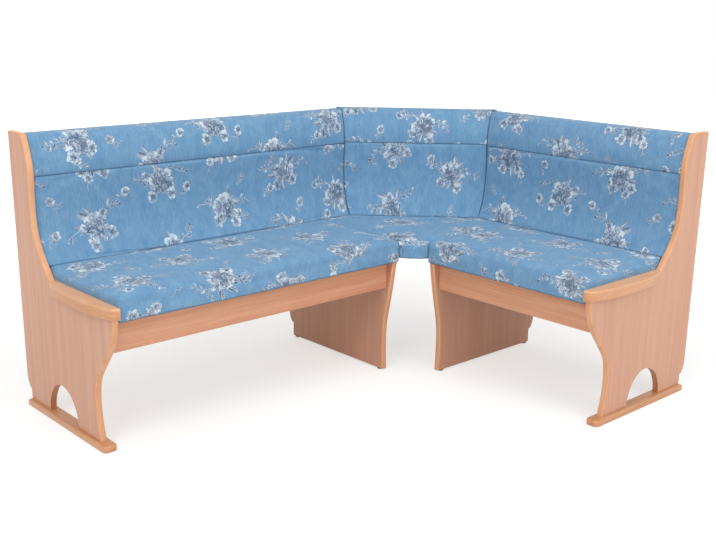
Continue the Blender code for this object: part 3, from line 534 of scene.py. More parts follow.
def newMaterial(name, roughness=0.5, **uniform):
    material = bpy.data.materials.new(name)
    material.use_nodes = True
    shader = material.node_tree.nodes["Principled BSDF"]
    plugNamed(shader, Roughness=roughness, **uniform)
    return material, material.node_tree, shader


def bumpFrom(shader, height, distance, strength=1.0):
    bump = newNode("Bump", height)
    plugNamed(bump, Strength=strength, Distance=distance, Height=height)
    plug(shader.inputs["Normal"], Wire(bump.outputs["Normal"]))


woods = {  # the ways that the grain runs, and light, dark and fleck colours
    "panelBeech": ("Z", "#cb977b", "#c18c71", "#a16b4f"),
    "apronBeech": ("XY", "#d49d7c", "#c48664", "#a0684a"),
    "lippingBeech": ("Z", "#d9a37b", "#cb9065", "#a56f48"),
    "solidBeech": ("XY", "#ce9871", "#c08559", "#99623c"),
    "archBand": ("Z", "#bf8156", "#a96b43", "#84502f"),
    "softwood": ("XYZ", "#d9bd92", "#c7a476", "#a07e52"),
}
paintedTopLight = {  # painted highlight on the top of an arm and its upper arris, where the light falls: its colour, how much of it, and how far below the top it fades
    "colour": "#e2b48c",
    "share": 0.36,
    "from": 0.0075,
    "to": 0.0030,
}


def woodMaterial(kind, axis, highlightTop=None):
    light, dark, fleck = (tint(code) for code in woods[kind][1:])
    material, tree, shader = newMaterial(f"{kind}{axis}", Coat_Weight=0.12, Coat_Roughness=0.3)
    place = ownPlace(tree)
    x, y, z = split(place)
    line = join(*{"X": (y, z, x), "Y": (z, x, y), "Z": (x, y, z)}[axis])  # its Z runs along the grain
    grain = useGroup(groups["grain"], Vector=line, Light=light, Dark=dark, Fleck=fleck)
    colour = grain["Color"]
    if highlightTop:
        # Painted highlight: the arm's top and upper arris are made paler in patches, as where light falls on
        # them
        paintedHighlight = fade(z, highlightTop - paintedTopLight["from"], highlightTop - paintedTopLight["to"]) * noiseAt(place, 22)
        colour = mixColour(paintedHighlight * (paintedTopLight["share"] * 2), colour, tint(paintedTopLight["colour"]))
    plugNamed(shader, Base_Color=colour, Roughness=grain["Roughness"])
    bumpFrom(shader, grain["Height"], 0.0001)
    return material


boards = {  # name, light and dark colours, roughness, fineness of the chips
    "chipboard": ("rawChipboard", "#cfb288", "#9c7a4e", 0.8, 1.0),
    "hardboard": ("rawHardboard", "#8a6442", "#6d4a2e", 0.6, 5.0),
}


def boardMaterial(name, light, dark, roughness, fineness):
    material, tree, shader = newMaterial(name, roughness)
    chips = useGroup(groups["chips"], Vector=ownPlace(tree) * fineness, Light=tint(light), Dark=tint(dark))
    plugNamed(shader, Base_Color=chips["Color"])
    bumpFrom(shader, chips["Height"], 0.0003 / fineness)
    return material


flock = {
    "light": "#7aa0bc",
    "dark": "#5581a8",
    "sheen": "#c4d6e4",
    "paintedShade": "#34495c",  # painted shade: the darker colour laid along hems, seams and in the gathers' folds, where shade falls
    "paintedShadeAmount": 0.75,
    "roughness": 0.88,
}


def flockMaterial():
    sheen = {"Sheen_Weight": 0.25, "Sheen_Roughness": 0.45, "Sheen_Tint": tint(flock["sheen"])}
    material, tree, shader = newMaterial("printedFlock", flock["roughness"], Specular_IOR_Level=0.25, **sheen)
    node = tree.nodes.new("ShaderNodeUVMap")
    node.uv_map = "clothCut"
    cut = Wire(node.outputs[0])
    brushed = noiseAt(cut * (190, 42, 1), detail=3, rough=0.65)
    blotches = noiseAt(cut * (30, 17, 1), detail=3, rough=0.6)
    pile = noiseAt(cut, 1500, 1)
    tone = brushed * 0.32 + blotches * 0.28 + pile * 0.40
    ground = mixColour(fade(tone, 0.33, 0.67), tint(flock["dark"]), tint(flock["light"]))
    floral = useGroup(groups["floral"], Vector=cut)
    colour = mixColour(floral["Mask"] * mixValue(pile, 0.72, 1.0), ground, floral["Color"])
    # Painted shade: a point attribute darkens the flock along hems, seams and in the gathers' folds
    node = tree.nodes.new("ShaderNodeAttribute")
    node.attribute_name = "paintedShadeAmount"
    paintedShade = Wire(node.outputs["Fac"]) * mixValue(brushed, 0.4 * flock["paintedShadeAmount"], 1.4 * flock["paintedShadeAmount"])
    plugNamed(shader, Base_Color=mixColour(paintedShade, colour, tint(flock["paintedShade"])))
    bumpFrom(shader, pile + brushed * 0.8, 0.0005, 0.6)
    return material


fittings = {  # name, metallic, size of the mottling, two colours, two roughnesses
    "zinc": ("zincedSteel", 1.0, (160, 3), ("#7f8387", "#b3b6b9"), (0.28, 0.46)),
    "glide": ("glidePlastic", 0.0, (700, 2), ("#2c2724", "#3d3733"), (0.45, 0.65)),
}


def fittingMaterial(name, metallic, mottling, colours, roughnesses):
    material, tree, shader = newMaterial(name, Metallic=metallic)
    mottled = noiseAt(ownPlace(tree), *mottling)
    colour = mixColour(mottled, *(tint(code) for code in colours))
    plugNamed(shader, Base_Color=colour, Roughness=mixValue(mottled, *roughnesses))
    if not metallic:
        bumpFrom(shader, mottled, 0.0001)
    return material


groups = {"grain": beechGrainGroup(), "chips": chipGroup(), "floral": floralGroup()}
runAxis = {"long": "X", "short": "Y"}
depthAxis = {"long": "Y", "short": "X"}
materials = {key: boardMaterial(*values) for key, values in boards.items()}
materials["flock"] = flockMaterial()
for key, values in fittings.items():
    materials[key] = fittingMaterial(*values)
for kind, (axes, *_) in woods.items():
    for axis in axes:
        materials[kind + axis] = woodMaterial(kind, axis)


def newPiece(name, mesh, finishes, stands):
    bmesh.ops.recalc_face_normals(mesh, faces=mesh.faces)
    data = bpy.data.meshes.new(name)
    mesh.to_mesh(data)
    mesh.free()
    for finish in finishes:
        data.materials.append(materials[finish])
    piece = bpy.data.objects.new(name, data)
    scene.collection.objects.link(piece)
    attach(piece, "root")
    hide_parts(*stands)
    return piece


def smoothUnder(piece, degrees):
    piece.data.shade_smooth()
    piece.data.set_sharp_from_angle(angle=math.radians(degrees))


def roundEdges(piece, width):
    bevel = piece.modifiers.new("easedEdges", "BEVEL")
    bevel.width, bevel.segments, bevel.limit_method = width, 2, "ANGLE"
    bevel.angle_limit = math.radians(50)
    bevel.harden_normals = True


def loft(mesh, side, rings, caps=True):
    loops = [[mesh.verts.new(onBench(side, *point)) for point in ring] for ring in rings]
    count = len(loops[0])
    for low, high in zip(loops, loops[1:]):
        for i in range(count):
            j = (i + 1) % count
            mesh.faces.new((low[i], low[j], high[j], high[i]))
    if caps:
        mesh.faces.new(loops[0])
        mesh.faces.new(loops[-1])
    return loops


endPanel = {
    "backHollow": 0.0945,
    "legHollow": 0.123,
    "headDepth": 0.080,
    "headCorner": 0.022,
    "skirtingHeight": 0.100,
    "skirtingDepth": 0.023,
    "archCentre": 0.240,
    "archWidth": 0.180,
    "archHeight": 0.106,
    "lipping": 0.005,
    "lippingRound": 0.0042,
    "easedEdge": 0.0006,
    "coverInset": 0.008,
}
arm = {
    "bottom": 0.409,
    "top": 0.442,
    "rear": 0.205,
    "front": 0.580,
    "bulge": 0.027,
    "topRound": 0.0048,
    "bottomRound": 0.003,
    "runOut": 0.045,  # over which the roundings fade towards the rear
    "rearShare": 0.12,  # what is left of them there
}
footRail = {
    "height": 0.020,
    "width": 0.044,
    "rear": 0.018,
    "front": 0.503,
    "corner": 0.013,
    "rearCorner": 0.003,
    "topRound": 0.0055,
    "bottomEdge": 0.001,
}
innerPanel = {"hollow": 0.055, "glide": 0.005}
# The arm mouldings get a beech with a painted highlight along their tops
for axis in "XY":
    materials["armBeech" + axis] = woodMaterial("solidBeech", axis, arm["top"])
print("materials ready:", len(materials))


def hollowLine(shape, low, high, front, hollow, last=()):
    # A panel's front edge: its depth at a height, from shares of its height and of its hollow
    knots = [(low + share * (high - low), front - hollow * back) for share, back in shape]
    return smoothLine(knots + list(last))


backShape = [(0, 0), (0.055, 0.22), (0.13, 0.51), (0.21, 0.74), (0.30, 0.90)]
backShape += [(0.42, 0.99), (0.54, 1), (0.71, 0.95), (0.80, 0.99), (0.90, 1.12)]
legShape = [(0, 0.86), (0.17, 0.975), (0.33, 1), (0.48, 0.90)]
legShape += [(0.64, 0.53), (0.76, 0.24), (0.88, 0.07), (1, 0.01)]
innerShape = [(0, 0.95), (0.27, 1), (0.45, 0.91), (0.64, 0.64), (0.85, 0.36), (1, 0.20)]
headPoint = (bench["height"], endPanel["headDepth"])
panelFront = hollowLine(backShape, arm["top"], bench["height"], arm["rear"], endPanel["backHollow"], [headPoint])
legFront = hollowLine(legShape, footRail["height"], arm["bottom"], bench["seatFront"], endPanel["legHollow"])
seatHeights = (innerPanel["glide"], bench["seatUnderside"])
innerFront = hollowLine(innerShape, *seatHeights, bench["seatFront"], innerPanel["hollow"])


def fabricFront(height):  # the backs' covers lie a little behind the end panels' front edge
    return panelFront(height) - endPanel["coverInset"]


def skirtingCut(bottom):
    depth, height = endPanel["skirtingDepth"], endPanel["skirtingHeight"]
    return [(depth, bottom)] + arc((depth, height), (depth, height * 0.45), 270, 180, 18)


def upperPath():
    turn = endPanel["headCorner"]
    cornerTop = bench["height"] - turn
    path = [(0.0, bench["height"])]
    path += arc((panelFront(cornerTop) - turn, cornerTop), (turn, turn), 90, 10, 14)
    return path + [(panelFront(z), z) for z in spread(cornerTop - turn / 2, arm["top"], 60)]


def lowerPath():
    return [(legFront(z), z) for z in spread(arm["bottom"] - gap, footRail["height"] + gap, 56)]


def innerPath():
    return [(innerFront(z), z) for z in spread(bench["seatUnderside"] - gap, innerPanel["glide"], 40)]


def boardFrom(name, side, outline, start, finishes, stands, edgeFinish):
    # A panel from its outline in depth and height. edgeFinish picks the finish of each face of its edge.
    mesh = bmesh.new()
    loops = loft(mesh, side, [[(run, *point) for point in outline] for run in (start, start + bench["panel"])])
    for i, vertex in enumerate(loops[0]):
        j = (i + 1) % len(outline)
        for face in mesh.edges.get((vertex, loops[0][j])).link_faces:
            if len(face.verts) == 4:
                face.material_index = edgeFinish(outline[i], outline[j])
    piece = newPiece(name, mesh, finishes, stands)
    smoothUnder(piece, 40)
    roundEdges(piece, endPanel["easedEdge"])


def makeEndPanel(side):
    inset = endPanel["lipping"] + gap
    upper = offsetPath(upperPath(), inset)
    lower = offsetPath(lowerPath(), inset, levelEnds=True)
    foot = footRail["height"] + gap
    outline = skirtingCut(foot) + upper
    outline += [(arm["rear"], upper[-1][1]), (arm["rear"], arm["bottom"] - gap)] + lower
    archFrom = len(outline)
    radii = (endPanel["archWidth"] / 2, endPanel["archHeight"])
    outline += arc((endPanel["archCentre"], foot), radii, 0, 180, 64)
    archPoints = set(outline[archFrom:])

    def edgeFinish(first, second):
        return 1 if first in archPoints and second in archPoints else 2

    finishes = ["panelBeechZ", "archBandZ", "chipboard"]
    boardFrom(f"{side}EndPanel", side, outline, panelStart[side], finishes, [f"{side}_end_panel"], edgeFinish)


def makeInnerPanel(side):
    front = offsetPath(innerPath(), endPanel["lipping"] + gap, levelEnds=True)
    outline = skirtingCut(innerPanel["glide"]) + [(0.0, bench["seatUnderside"] - gap)] + front
    finishes, stands = ["panelBeechZ", "chipboard"], [f"{side}_inner_panel"]
    boardFrom(f"{side}InnerPanel", side, outline, bench["cornerSide"], finishes, stands, lambda first, second: 1)


def makeLipping(name, side, path, start, levelEnds, stands):
    # A strip of beech along a panel's front edge, rounded to both faces
    profile = [(0.0, endPanel["lipping"])] + quarter(endPanel["lippingRound"], 6)
    profile += [(bench["panel"] - run, inward) for run, inward in profile[::-1]]
    lines = {inward: offsetPath(path, inward, levelEnds) for _, inward in profile}
    mesh = bmesh.new()
    loft(mesh, side, [[(start + run, *lines[inward][i]) for run, inward in profile] for i in range(len(path))])
    smoothUnder(newPiece(name, mesh, ["lippingBeechZ"], stands), 50)


def makeArm(side):
    inner, outer = panelStart[side], bench["lengths"][side]
    rear, length = arm["rear"] + gap, arm["front"] - arm["rear"] - gap
    knots = [(0, 0.08), (0.06, 0.40), (0.17, 0.79), (0.41, 1), (0.63, 1), (0.81, 0.74), (0.95, 0.35), (1, 0.10)]
    bulge = smoothLine(knots)
    curve = [(outer + arm["bulge"] * min(bulge(s), 1), rear + s * length) for s in spread(0, 0.955, 48)]
    tipRun, tipDepth = curve[-1]
    curve += arc((inner, tipDepth), (tipRun - inner, arm["front"] - tipDepth), 8, 90, 14)
    levels = [(arm["bottom"] + rise, inset) for rise, inset in quarter(arm["bottomRound"], 5)]
    levels += [(arm["top"] - drop, inset) for inset, drop in quarter(arm["topRound"], 9)]
    rings = []
    for height, inset in levels:
        # The rounding fades out towards the rear, where the moulding runs into the panel's edge
        moved = []
        for here, there in zip(curve, offsetPath(curve, -inset)):
            share = arm["rearShare"] + (1 - arm["rearShare"]) * ease(here[1], rear, rear + arm["runOut"])
            moved.append(tuple(a + (b - a) * share for a, b in zip(here, there)))
        moved[0] = (moved[0][0], rear)
        moved[-1] = (inner, moved[-1][1])
        rings.append([(inner, rear, height)] + [(run, depth, height) for run, depth in moved])
    mesh = bmesh.new()
    loft(mesh, side, rings)
    finishes = ["armBeech" + depthAxis[side]]
    smoothUnder(newPiece(f"{side}ArmMoulding", mesh, finishes, [f"{side}_arm_moulding"]), 45)


def makeFootRail(side):
    middle = bench["lengths"][side] - bench["panel"] / 2
    levels = [(0.0, footRail["bottomEdge"]), (footRail["bottomEdge"], 0.0)]
    levels += [(footRail["height"] - drop, inset) for inset, drop in quarter(footRail["topRound"], 8)]
    rings = []
    for height, inset in levels:
        wide, rear, front = footRail["width"] / 2 - inset, footRail["rear"] + inset, footRail["front"] - inset
        ring = []
        for sign, depth, turn, start, count in (
            (-1, rear, footRail["rearCorner"], 180, 4),
            (1, rear, footRail["rearCorner"], 270, 4),
            (1, front, footRail["corner"] - inset, 0, 12),
            (-1, front, footRail["corner"] - inset, 90, 12),
        ):
            inward = turn if depth == rear else -turn
            centre = (middle + sign * (wide - turn), depth + inward)
            ring += [(*point, height) for point in arc(centre, (turn, turn), start, start + 90, count)]
        rings.append(ring)
    mesh = bmesh.new()
    loft(mesh, side, rings)
    finishes = ["solidBeech" + depthAxis[side]]
    smoothUnder(newPiece(f"{side}FootRail", mesh, finishes, [f"{side}_foot_rail"]), 45)


for side in panelStart:
    makeEndPanel(side)
    makeInnerPanel(side)
    makeArm(side)
    makeFootRail(side)
    makeLipping(f"{side}UpperLipping", side, upperPath(), panelStart[side], False, [f"{side}_end_edging_upper"])
    makeLipping(f"{side}LowerLipping", side, lowerPath(), panelStart[side], True, [f"{side}_end_edging_lower"])
    makeLipping(f"{side}InnerLipping", side, innerPath(), bench["cornerSide"], True, [f"{side}_inner_edging"])
print("panels, lippings, mouldings and rails made")


# Boards, battens and fittings keep their solids and get finishes and eased edges
nodeFinishes = {
    "seat_board": "chipboard",
    "back_board": "chipboard",
    "back_skin": "hardboard",
    "back_frame": "softwoodZ",
    "apron": "apronBeech",
    "rear_rail": "apronBeech",
    "batten": "softwood",
    "glide": "glide",
    "plate": "zinc",
    "bracket": "zinc",
}
easedBoards = {"edge": 0.0007, "weld": 0.00005}


def dressNodes():
    for name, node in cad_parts.items():
        finish = next((finish for word, finish in nodeFinishes.items() if name.endswith(word)), None)
        if node.hide_render or finish is None:
            continue
        side = name.split("_")[0]
        if finish in ("apronBeech", "softwood"):
            finish += runAxis[side] if finish == "apronBeech" else depthAxis[side]
        node.data.materials.clear()
        node.data.materials.append(materials[finish])
        if finish in ("zinc", "glide"):
            continue
        weld = node.modifiers.new("closedMesh", "WELD")
        weld.merge_threshold = easedBoards["weld"]
        roundEdges(node, easedBoards["edge"])


cushion = {
    "spacing": 0.018,
    "pressure": 4.0,
    "frames": 14,
    "mass": 0.25,
    "stretch": 15,
    "shear": 8,
    "bending": 0.6,
    "wobble": 0.0014,
}
# The seam's last value sets how strongly shade is painted along the back covers' seams
seam = {"depth": 0.0035, "turn": 0.007, "endDraw": 0.0022, "endTurn": 0.008, "endHeld": 0.004, "paintedShadeAmount": 0.2}
backs = {
    "tops": {"long": 0.853, "corner": 0.858, "short": 0.853},
    "bottom": bench["crown"] + gap,
    "roll": 0.120,
    "foam": 0.045,
    "clear": 0.0008,  # between the covers' hidden side and the bent board
    "cap": 0.019,
    "crest": 0.018,
    "rearRound": 0.009,
}
seat = {
    "tuck": 0.0048,  # how far the cover turns in under its hem
    "skirt": 0.006,
    "lowTurn": 0.007,  # the front's rounding above the hem, and where it widens to the top's
    "widens": (0.015, 0.06),
    "topTurn": 0.018,
    "topDrop": 0.012,
    "outerTurn": 0.028,  # where a seat ends at a panel
    "outerDrop": 0.022,
    "seamTurn": 0.005,  # where two seats meet
    "seamDrop": 0.004,
    "hemTurn": 0.005,
    "crownDrop": 0.006,
    "seamCrown": 0.0015,
    "gather": 0.0018,
    "gatherPitch": 0.013,
    "hemWave": 0.0018,
    "gatherReach": 0.05,  # from the ends of a seat's front
    "frontWave": 0.0016,
    "noseReach": 0.03,  # how far back a front's bulge reaches
    "noseBulge": 0.011,
    "straightBulge": 0.0012,  # of the long and short seats' fronts
    "aboveBoard": 0.0006,
    "heldBack": 0.012,  # how far in front of the backs the cover is held
    "crownReach": 0.13,  # over which the crown rises from an edge
}
rearHem = {"below": 0.024, "thick": 0.0009, "puff": 0.0011, "pitch": 0.042, "wave": 0.0045, "inset": 0.002}
staple = {"wide": 0.0105, "wire": 0.0004, "below": 0.009, "standOff": 0.0007, "fromEnd": 0.012}
printShift = {  # where each cover was cut from the printed cloth
    "long": {"Seat": (0.02, 0.05), "Pad": (0.13, 0.02), "Roll": (0.35, 0.11)},
    "corner": {"Seat": (0.83, 0.31), "Pad": (0.29, 0.17), "Roll": (0.66, 0.04)},
    "short": {"Seat": (0.41, 0.13), "Pad": (0.57, 0.09), "Roll": (0.07, 0.19)},
}


def stations(length, near, spacing):
    # Shares of a length, close together towards both ends
    start = [d / length for d in near]
    count = max(3, round(length * (1 - 2 * start[-1]) / spacing) + 1)
    return start[:-1] + spread(start[-1], 1 - start[-1], count) + [1 - d for d in start[-2::-1]]


def roundIn(distance, turn, depth):
    # How far a cover lies back at a distance from its seam
    if distance >= turn:
        return 0.0
    return depth * (1 - math.sqrt(max(0.0, 1 - (1 - distance / turn) ** 2)))


def wobble(point, size, amount):
    return noise.noise(point * size) * amount


def makeCover(name, mesh, places, held, paintedShadeAmounts, shift, stands):
    layer = mesh.loops.layers.uv.new("clothCut")
    for face in mesh.faces:
        for corner in face.loops:
            u, v = places[corner.vert]
            corner[layer].uv = (u + shift[0], v + shift[1])
    mesh.verts.index_update()
    # The amounts of painted shade go on as a point attribute that the flock reads
    pins = [vertex.index for vertex in held]
    amounts = [paintedShadeAmounts.get(vertex, 0.0) for vertex in mesh.verts]
    piece = newPiece(name, mesh, ["flock"], stands)
    piece.data.attributes.new("paintedShadeAmount", "FLOAT", "POINT").data.foreach_set("value", amounts)
    piece.vertex_groups.new(name="held").add(pins, 1.0, "REPLACE")
    return piece


def backEnds(side):
    # The run where a back starts and ends, at a depth: mitred where two backs meet
    if side == "corner":
        def half(depth):
            return bench["cornerReach"] - mitre * depth - gap
        return lambda depth: -half(depth), half
    leg = bench["cornerReach"] * root2
    return lambda depth: leg + mitre * depth + gap, lambda depth: panelStart[side] - gap


def padOutline(side):
    # Each point: depth, height, how far the print has come, and which way the cover faces
    low, high = backs["bottom"], backs["tops"][side] - backs["roll"] - gap
    outer, inner = [], []
    for share in stations(high - low, (0, 0.001, 0.003, 0.006, 0.010, 0.016), cushion["spacing"]):
        z = low + share * (high - low)
        inset = roundIn(min(z - low, high - z), seam["turn"], seam["depth"])
        outer.append((fabricFront(z) - inset, z, z - low, 1.0, 0.0))
        inner.append((fabricFront(z) - backs["foam"] + backs["clear"], z))
    return outer, inner


def rollOutline(side):
    top, crest = backs["tops"][side], backs["crest"]
    low = top - backs["roll"]
    outer = []
    for rise in [0, 0.001, 0.003, 0.006, 0.010, 0.016] + spread(0.032, backs["roll"] - crest - 0.001, 5):
        inset = roundIn(rise, seam["turn"], seam["depth"])
        outer.append((fabricFront(low + rise) - inset, low + rise, rise, 1.0, 0.0))
    centre = fabricFront(top - crest) - crest
    for angle in spread(0.1, math.pi / 2, 7):
        place = (centre + crest * math.cos(angle), top - crest + crest * math.sin(angle))
        outer.append((*place, backs["roll"] - crest + crest * angle, math.cos(angle), math.sin(angle) * 0.5))
    reach, turn = outer[-1][2], backs["rearRound"]
    rear = bench["backSetback"]
    for depth in spread(centre, rear + turn, 4)[1:]:
        outer.append((depth, top, reach + centre - depth, 0.0, 0.4))
    for angle in spread(0, math.pi / 2, 4)[1:]:
        place = (rear + turn - turn * math.sin(angle), top - turn + turn * math.cos(angle))
        outer.append((*place, reach + centre - rear - turn + turn * angle, 0.0, 0.0))
    # The hidden side follows the bent board and the ledge on its top edge
    ledge = top - backs["cap"] + backs["clear"]
    hidden = [(fabricFront(z) - backs["foam"] + backs["clear"], z) for z in spread(low, ledge, 24)]
    hidden.append((rear, ledge))
    lengths = [0.0]
    for first, second in zip(hidden, hidden[1:]):
        lengths.append(lengths[-1] + math.dist(first, second))
    inner = []
    for share in spread(0, 1, len(outer)):
        at = share * lengths[-1]
        k = max(i for i in range(len(hidden) - 1) if lengths[i] <= at + 1e-9)
        part = (at - lengths[k]) / (lengths[k + 1] - lengths[k])
        inner.append(tuple(a + (b - a) * part for a, b in zip(hidden[k], hidden[k + 1])))
    return outer, inner


def stapleRuns(side):
    start, end = backEnds(side)
    low = start(bench["backSetback"]) + staple["fromEnd"]
    high = end(bench["backSetback"]) - staple["fromEnd"]
    return spread(low, high, round((high - low) / rearHem["pitch"]) + 1)


def addRearHem(mesh, side, reach, places, held):
    # The end of the cloth, brought down behind the board and puckered between its staples
    start, end = backEnds(side)
    rear = bench["backSetback"] - gap / 2
    runs = stapleRuns(side)
    pitch = runs[1] - runs[0]
    inset = rearHem["inset"]
    high = backs["tops"][side] - backs["rearRound"] - inset
    low = backs["tops"][side] - backs["cap"] - rearHem["below"]
    rings = []
    for run in spread(start(rear) + inset, end(rear) - inset, round((runs[-1] - runs[0]) / 0.007)):
        free = math.sin(math.pi * (run - runs[0]) / pitch) ** 2
        foot = low + wobble(onBench(side, run, 0, low), 40, rearHem["wave"]) + 0.002 * free
        ring = []
        for share in (0, 0.12, 0.35, 0.6, 0.85, 1.0):
            depth = rear - rearHem["thick"] * min(1, 0.25 + 4 * share)
            depth -= rearHem["puff"] * free * ease(share, 0.1, 0.6)
            ring.append((run, depth, high + (foot - high) * share))
        ring += [(run, rear, z) for _, _, z in ring[::-1]]
        rings.append(ring)
    for loop, ring in zip(loft(mesh, side, rings), rings):
        for vertex, (run, _, z) in zip(loop, ring):
            places[vertex] = (run, reach + high - z)
            held.add(vertex)


def makeStaples(side):
    half, wire = staple["wide"] / 2, staple["wire"]
    rear = bench["backSetback"] - gap / 2 - rearHem["thick"]
    height = backs["tops"][side] - backs["cap"] - staple["below"]
    mesh = bmesh.new()
    for i, middle in enumerate(stapleRuns(side)):
        tilt = 0.12 * math.sin(i * 2.3)
        rings = []
        stand = staple["standOff"]
        bends = [(-half, stand, 90), (-half, -0.0002, 80), (-half + 0.0005, -stand, 30)]
        bends += [(-along, out, -turn) for along, out, turn in bends[::-1]]
        for along, out, turn in bends:
            turn = math.radians(turn)
            ring = []
            for a in spread(0, 2 * math.pi, 7)[:-1]:
                run = middle + along - math.sin(turn) * wire * math.cos(a)
                depth = rear + out - math.cos(turn) * wire * math.cos(a)
                ring.append((run, depth, height + along * tilt + wire * math.sin(a)))
            rings.append(ring)
        loft(mesh, side, rings)
    smoothUnder(newPiece(f"{side}Staples", mesh, ["zinc"], []), 60)


def makeBackCover(kind, side):
    # A lower pad or head roll, drawn from its outline and run from one end to the other
    outer, inner = padOutline(side) if kind == "Pad" else rollOutline(side)
    outline = outer + [(*place, outer[i][2], 0.0, 0.0) for i, place in reversed(list(enumerate(inner)))]
    start, end = backEnds(side)
    length = end(backs["foam"]) - start(backs["foam"])
    shares = stations(length, (0, 0.0008, 0.0025, 0.006, 0.011, 0.018, 0.028), cushion["spacing"])
    rings = []
    for share in shares:
        inset = roundIn(min(share, 1 - share) * length, seam["endTurn"], seam["endDraw"])
        ring = []
        for depth, height, _, outDepth, outHeight in outline:
            run = start(depth) + (end(depth) - start(depth)) * share
            move = wobble(onBench(side, run, depth, height), 9, cushion["wobble"]) - inset
            ring.append((run, depth + outDepth * move, height + outHeight * move))
        rings.append(ring)
    mesh = bmesh.new()
    loops = loft(mesh, side, rings, caps=False)
    last = len(outer) - 1
    for loop in (loops[0], loops[-1]):
        for i in range(last):
            mesh.faces.new((loop[i], loop[i + 1], loop[-i - 2], loop[-i - 1]))
    places, held, paintedShadeAmounts = {}, set(), {}
    if kind == "Roll":
        addRearHem(mesh, side, outer[-1][2], places, held)
    closeTop = 2 if kind == "Pad" else 5
    for share, loop in zip(shares, loops):
        atEnd = min(share, 1 - share) * length < seam["endHeld"]
        for i, vertex in enumerate(loop):
            places[vertex] = (start(0.03) + (end(0.03) - start(0.03)) * share, outline[i][2])
            # Painted shade along the seams at the ends and edges of each cover
            if atEnd or (i < 3 if kind == "Roll" else last - 3 < i <= last):
                paintedShadeAmounts[vertex] = seam["paintedShadeAmount"]
            if atEnd or i < 2 or i > last - closeTop:
                held.add(vertex)
    stands = [f"{side}_back_pad" if kind == "Pad" else f"{side}_head_roll"]
    return makeCover(f"{side}Back{kind}", mesh, places, held, paintedShadeAmounts, printShift[side][kind], stands)


def seatPlan(side):
    # Rear and front depth of a seat, and the run where it starts and ends at a depth
    rear = fabricFront(backs["bottom"]) - backs["foam"]
    if side != "corner":
        low, high = bench["cornerSide"] + gap, panelStart[side] - gap
        return rear, bench["seatFront"], lambda depth: (low, high), []
    reach, edge = bench["cornerReach"], (bench["cornerSide"] - gap) * root2
    front = bench["cornerSide"] * root2 - bench["cornerCut"] / root2 - reach - gap

    def ends(depth):
        half = min(reach + depth - rear * root2, edge - reach - depth)
        return -half, half

    return rear, front, ends, [(edge + rear * root2) / 2 - reach]


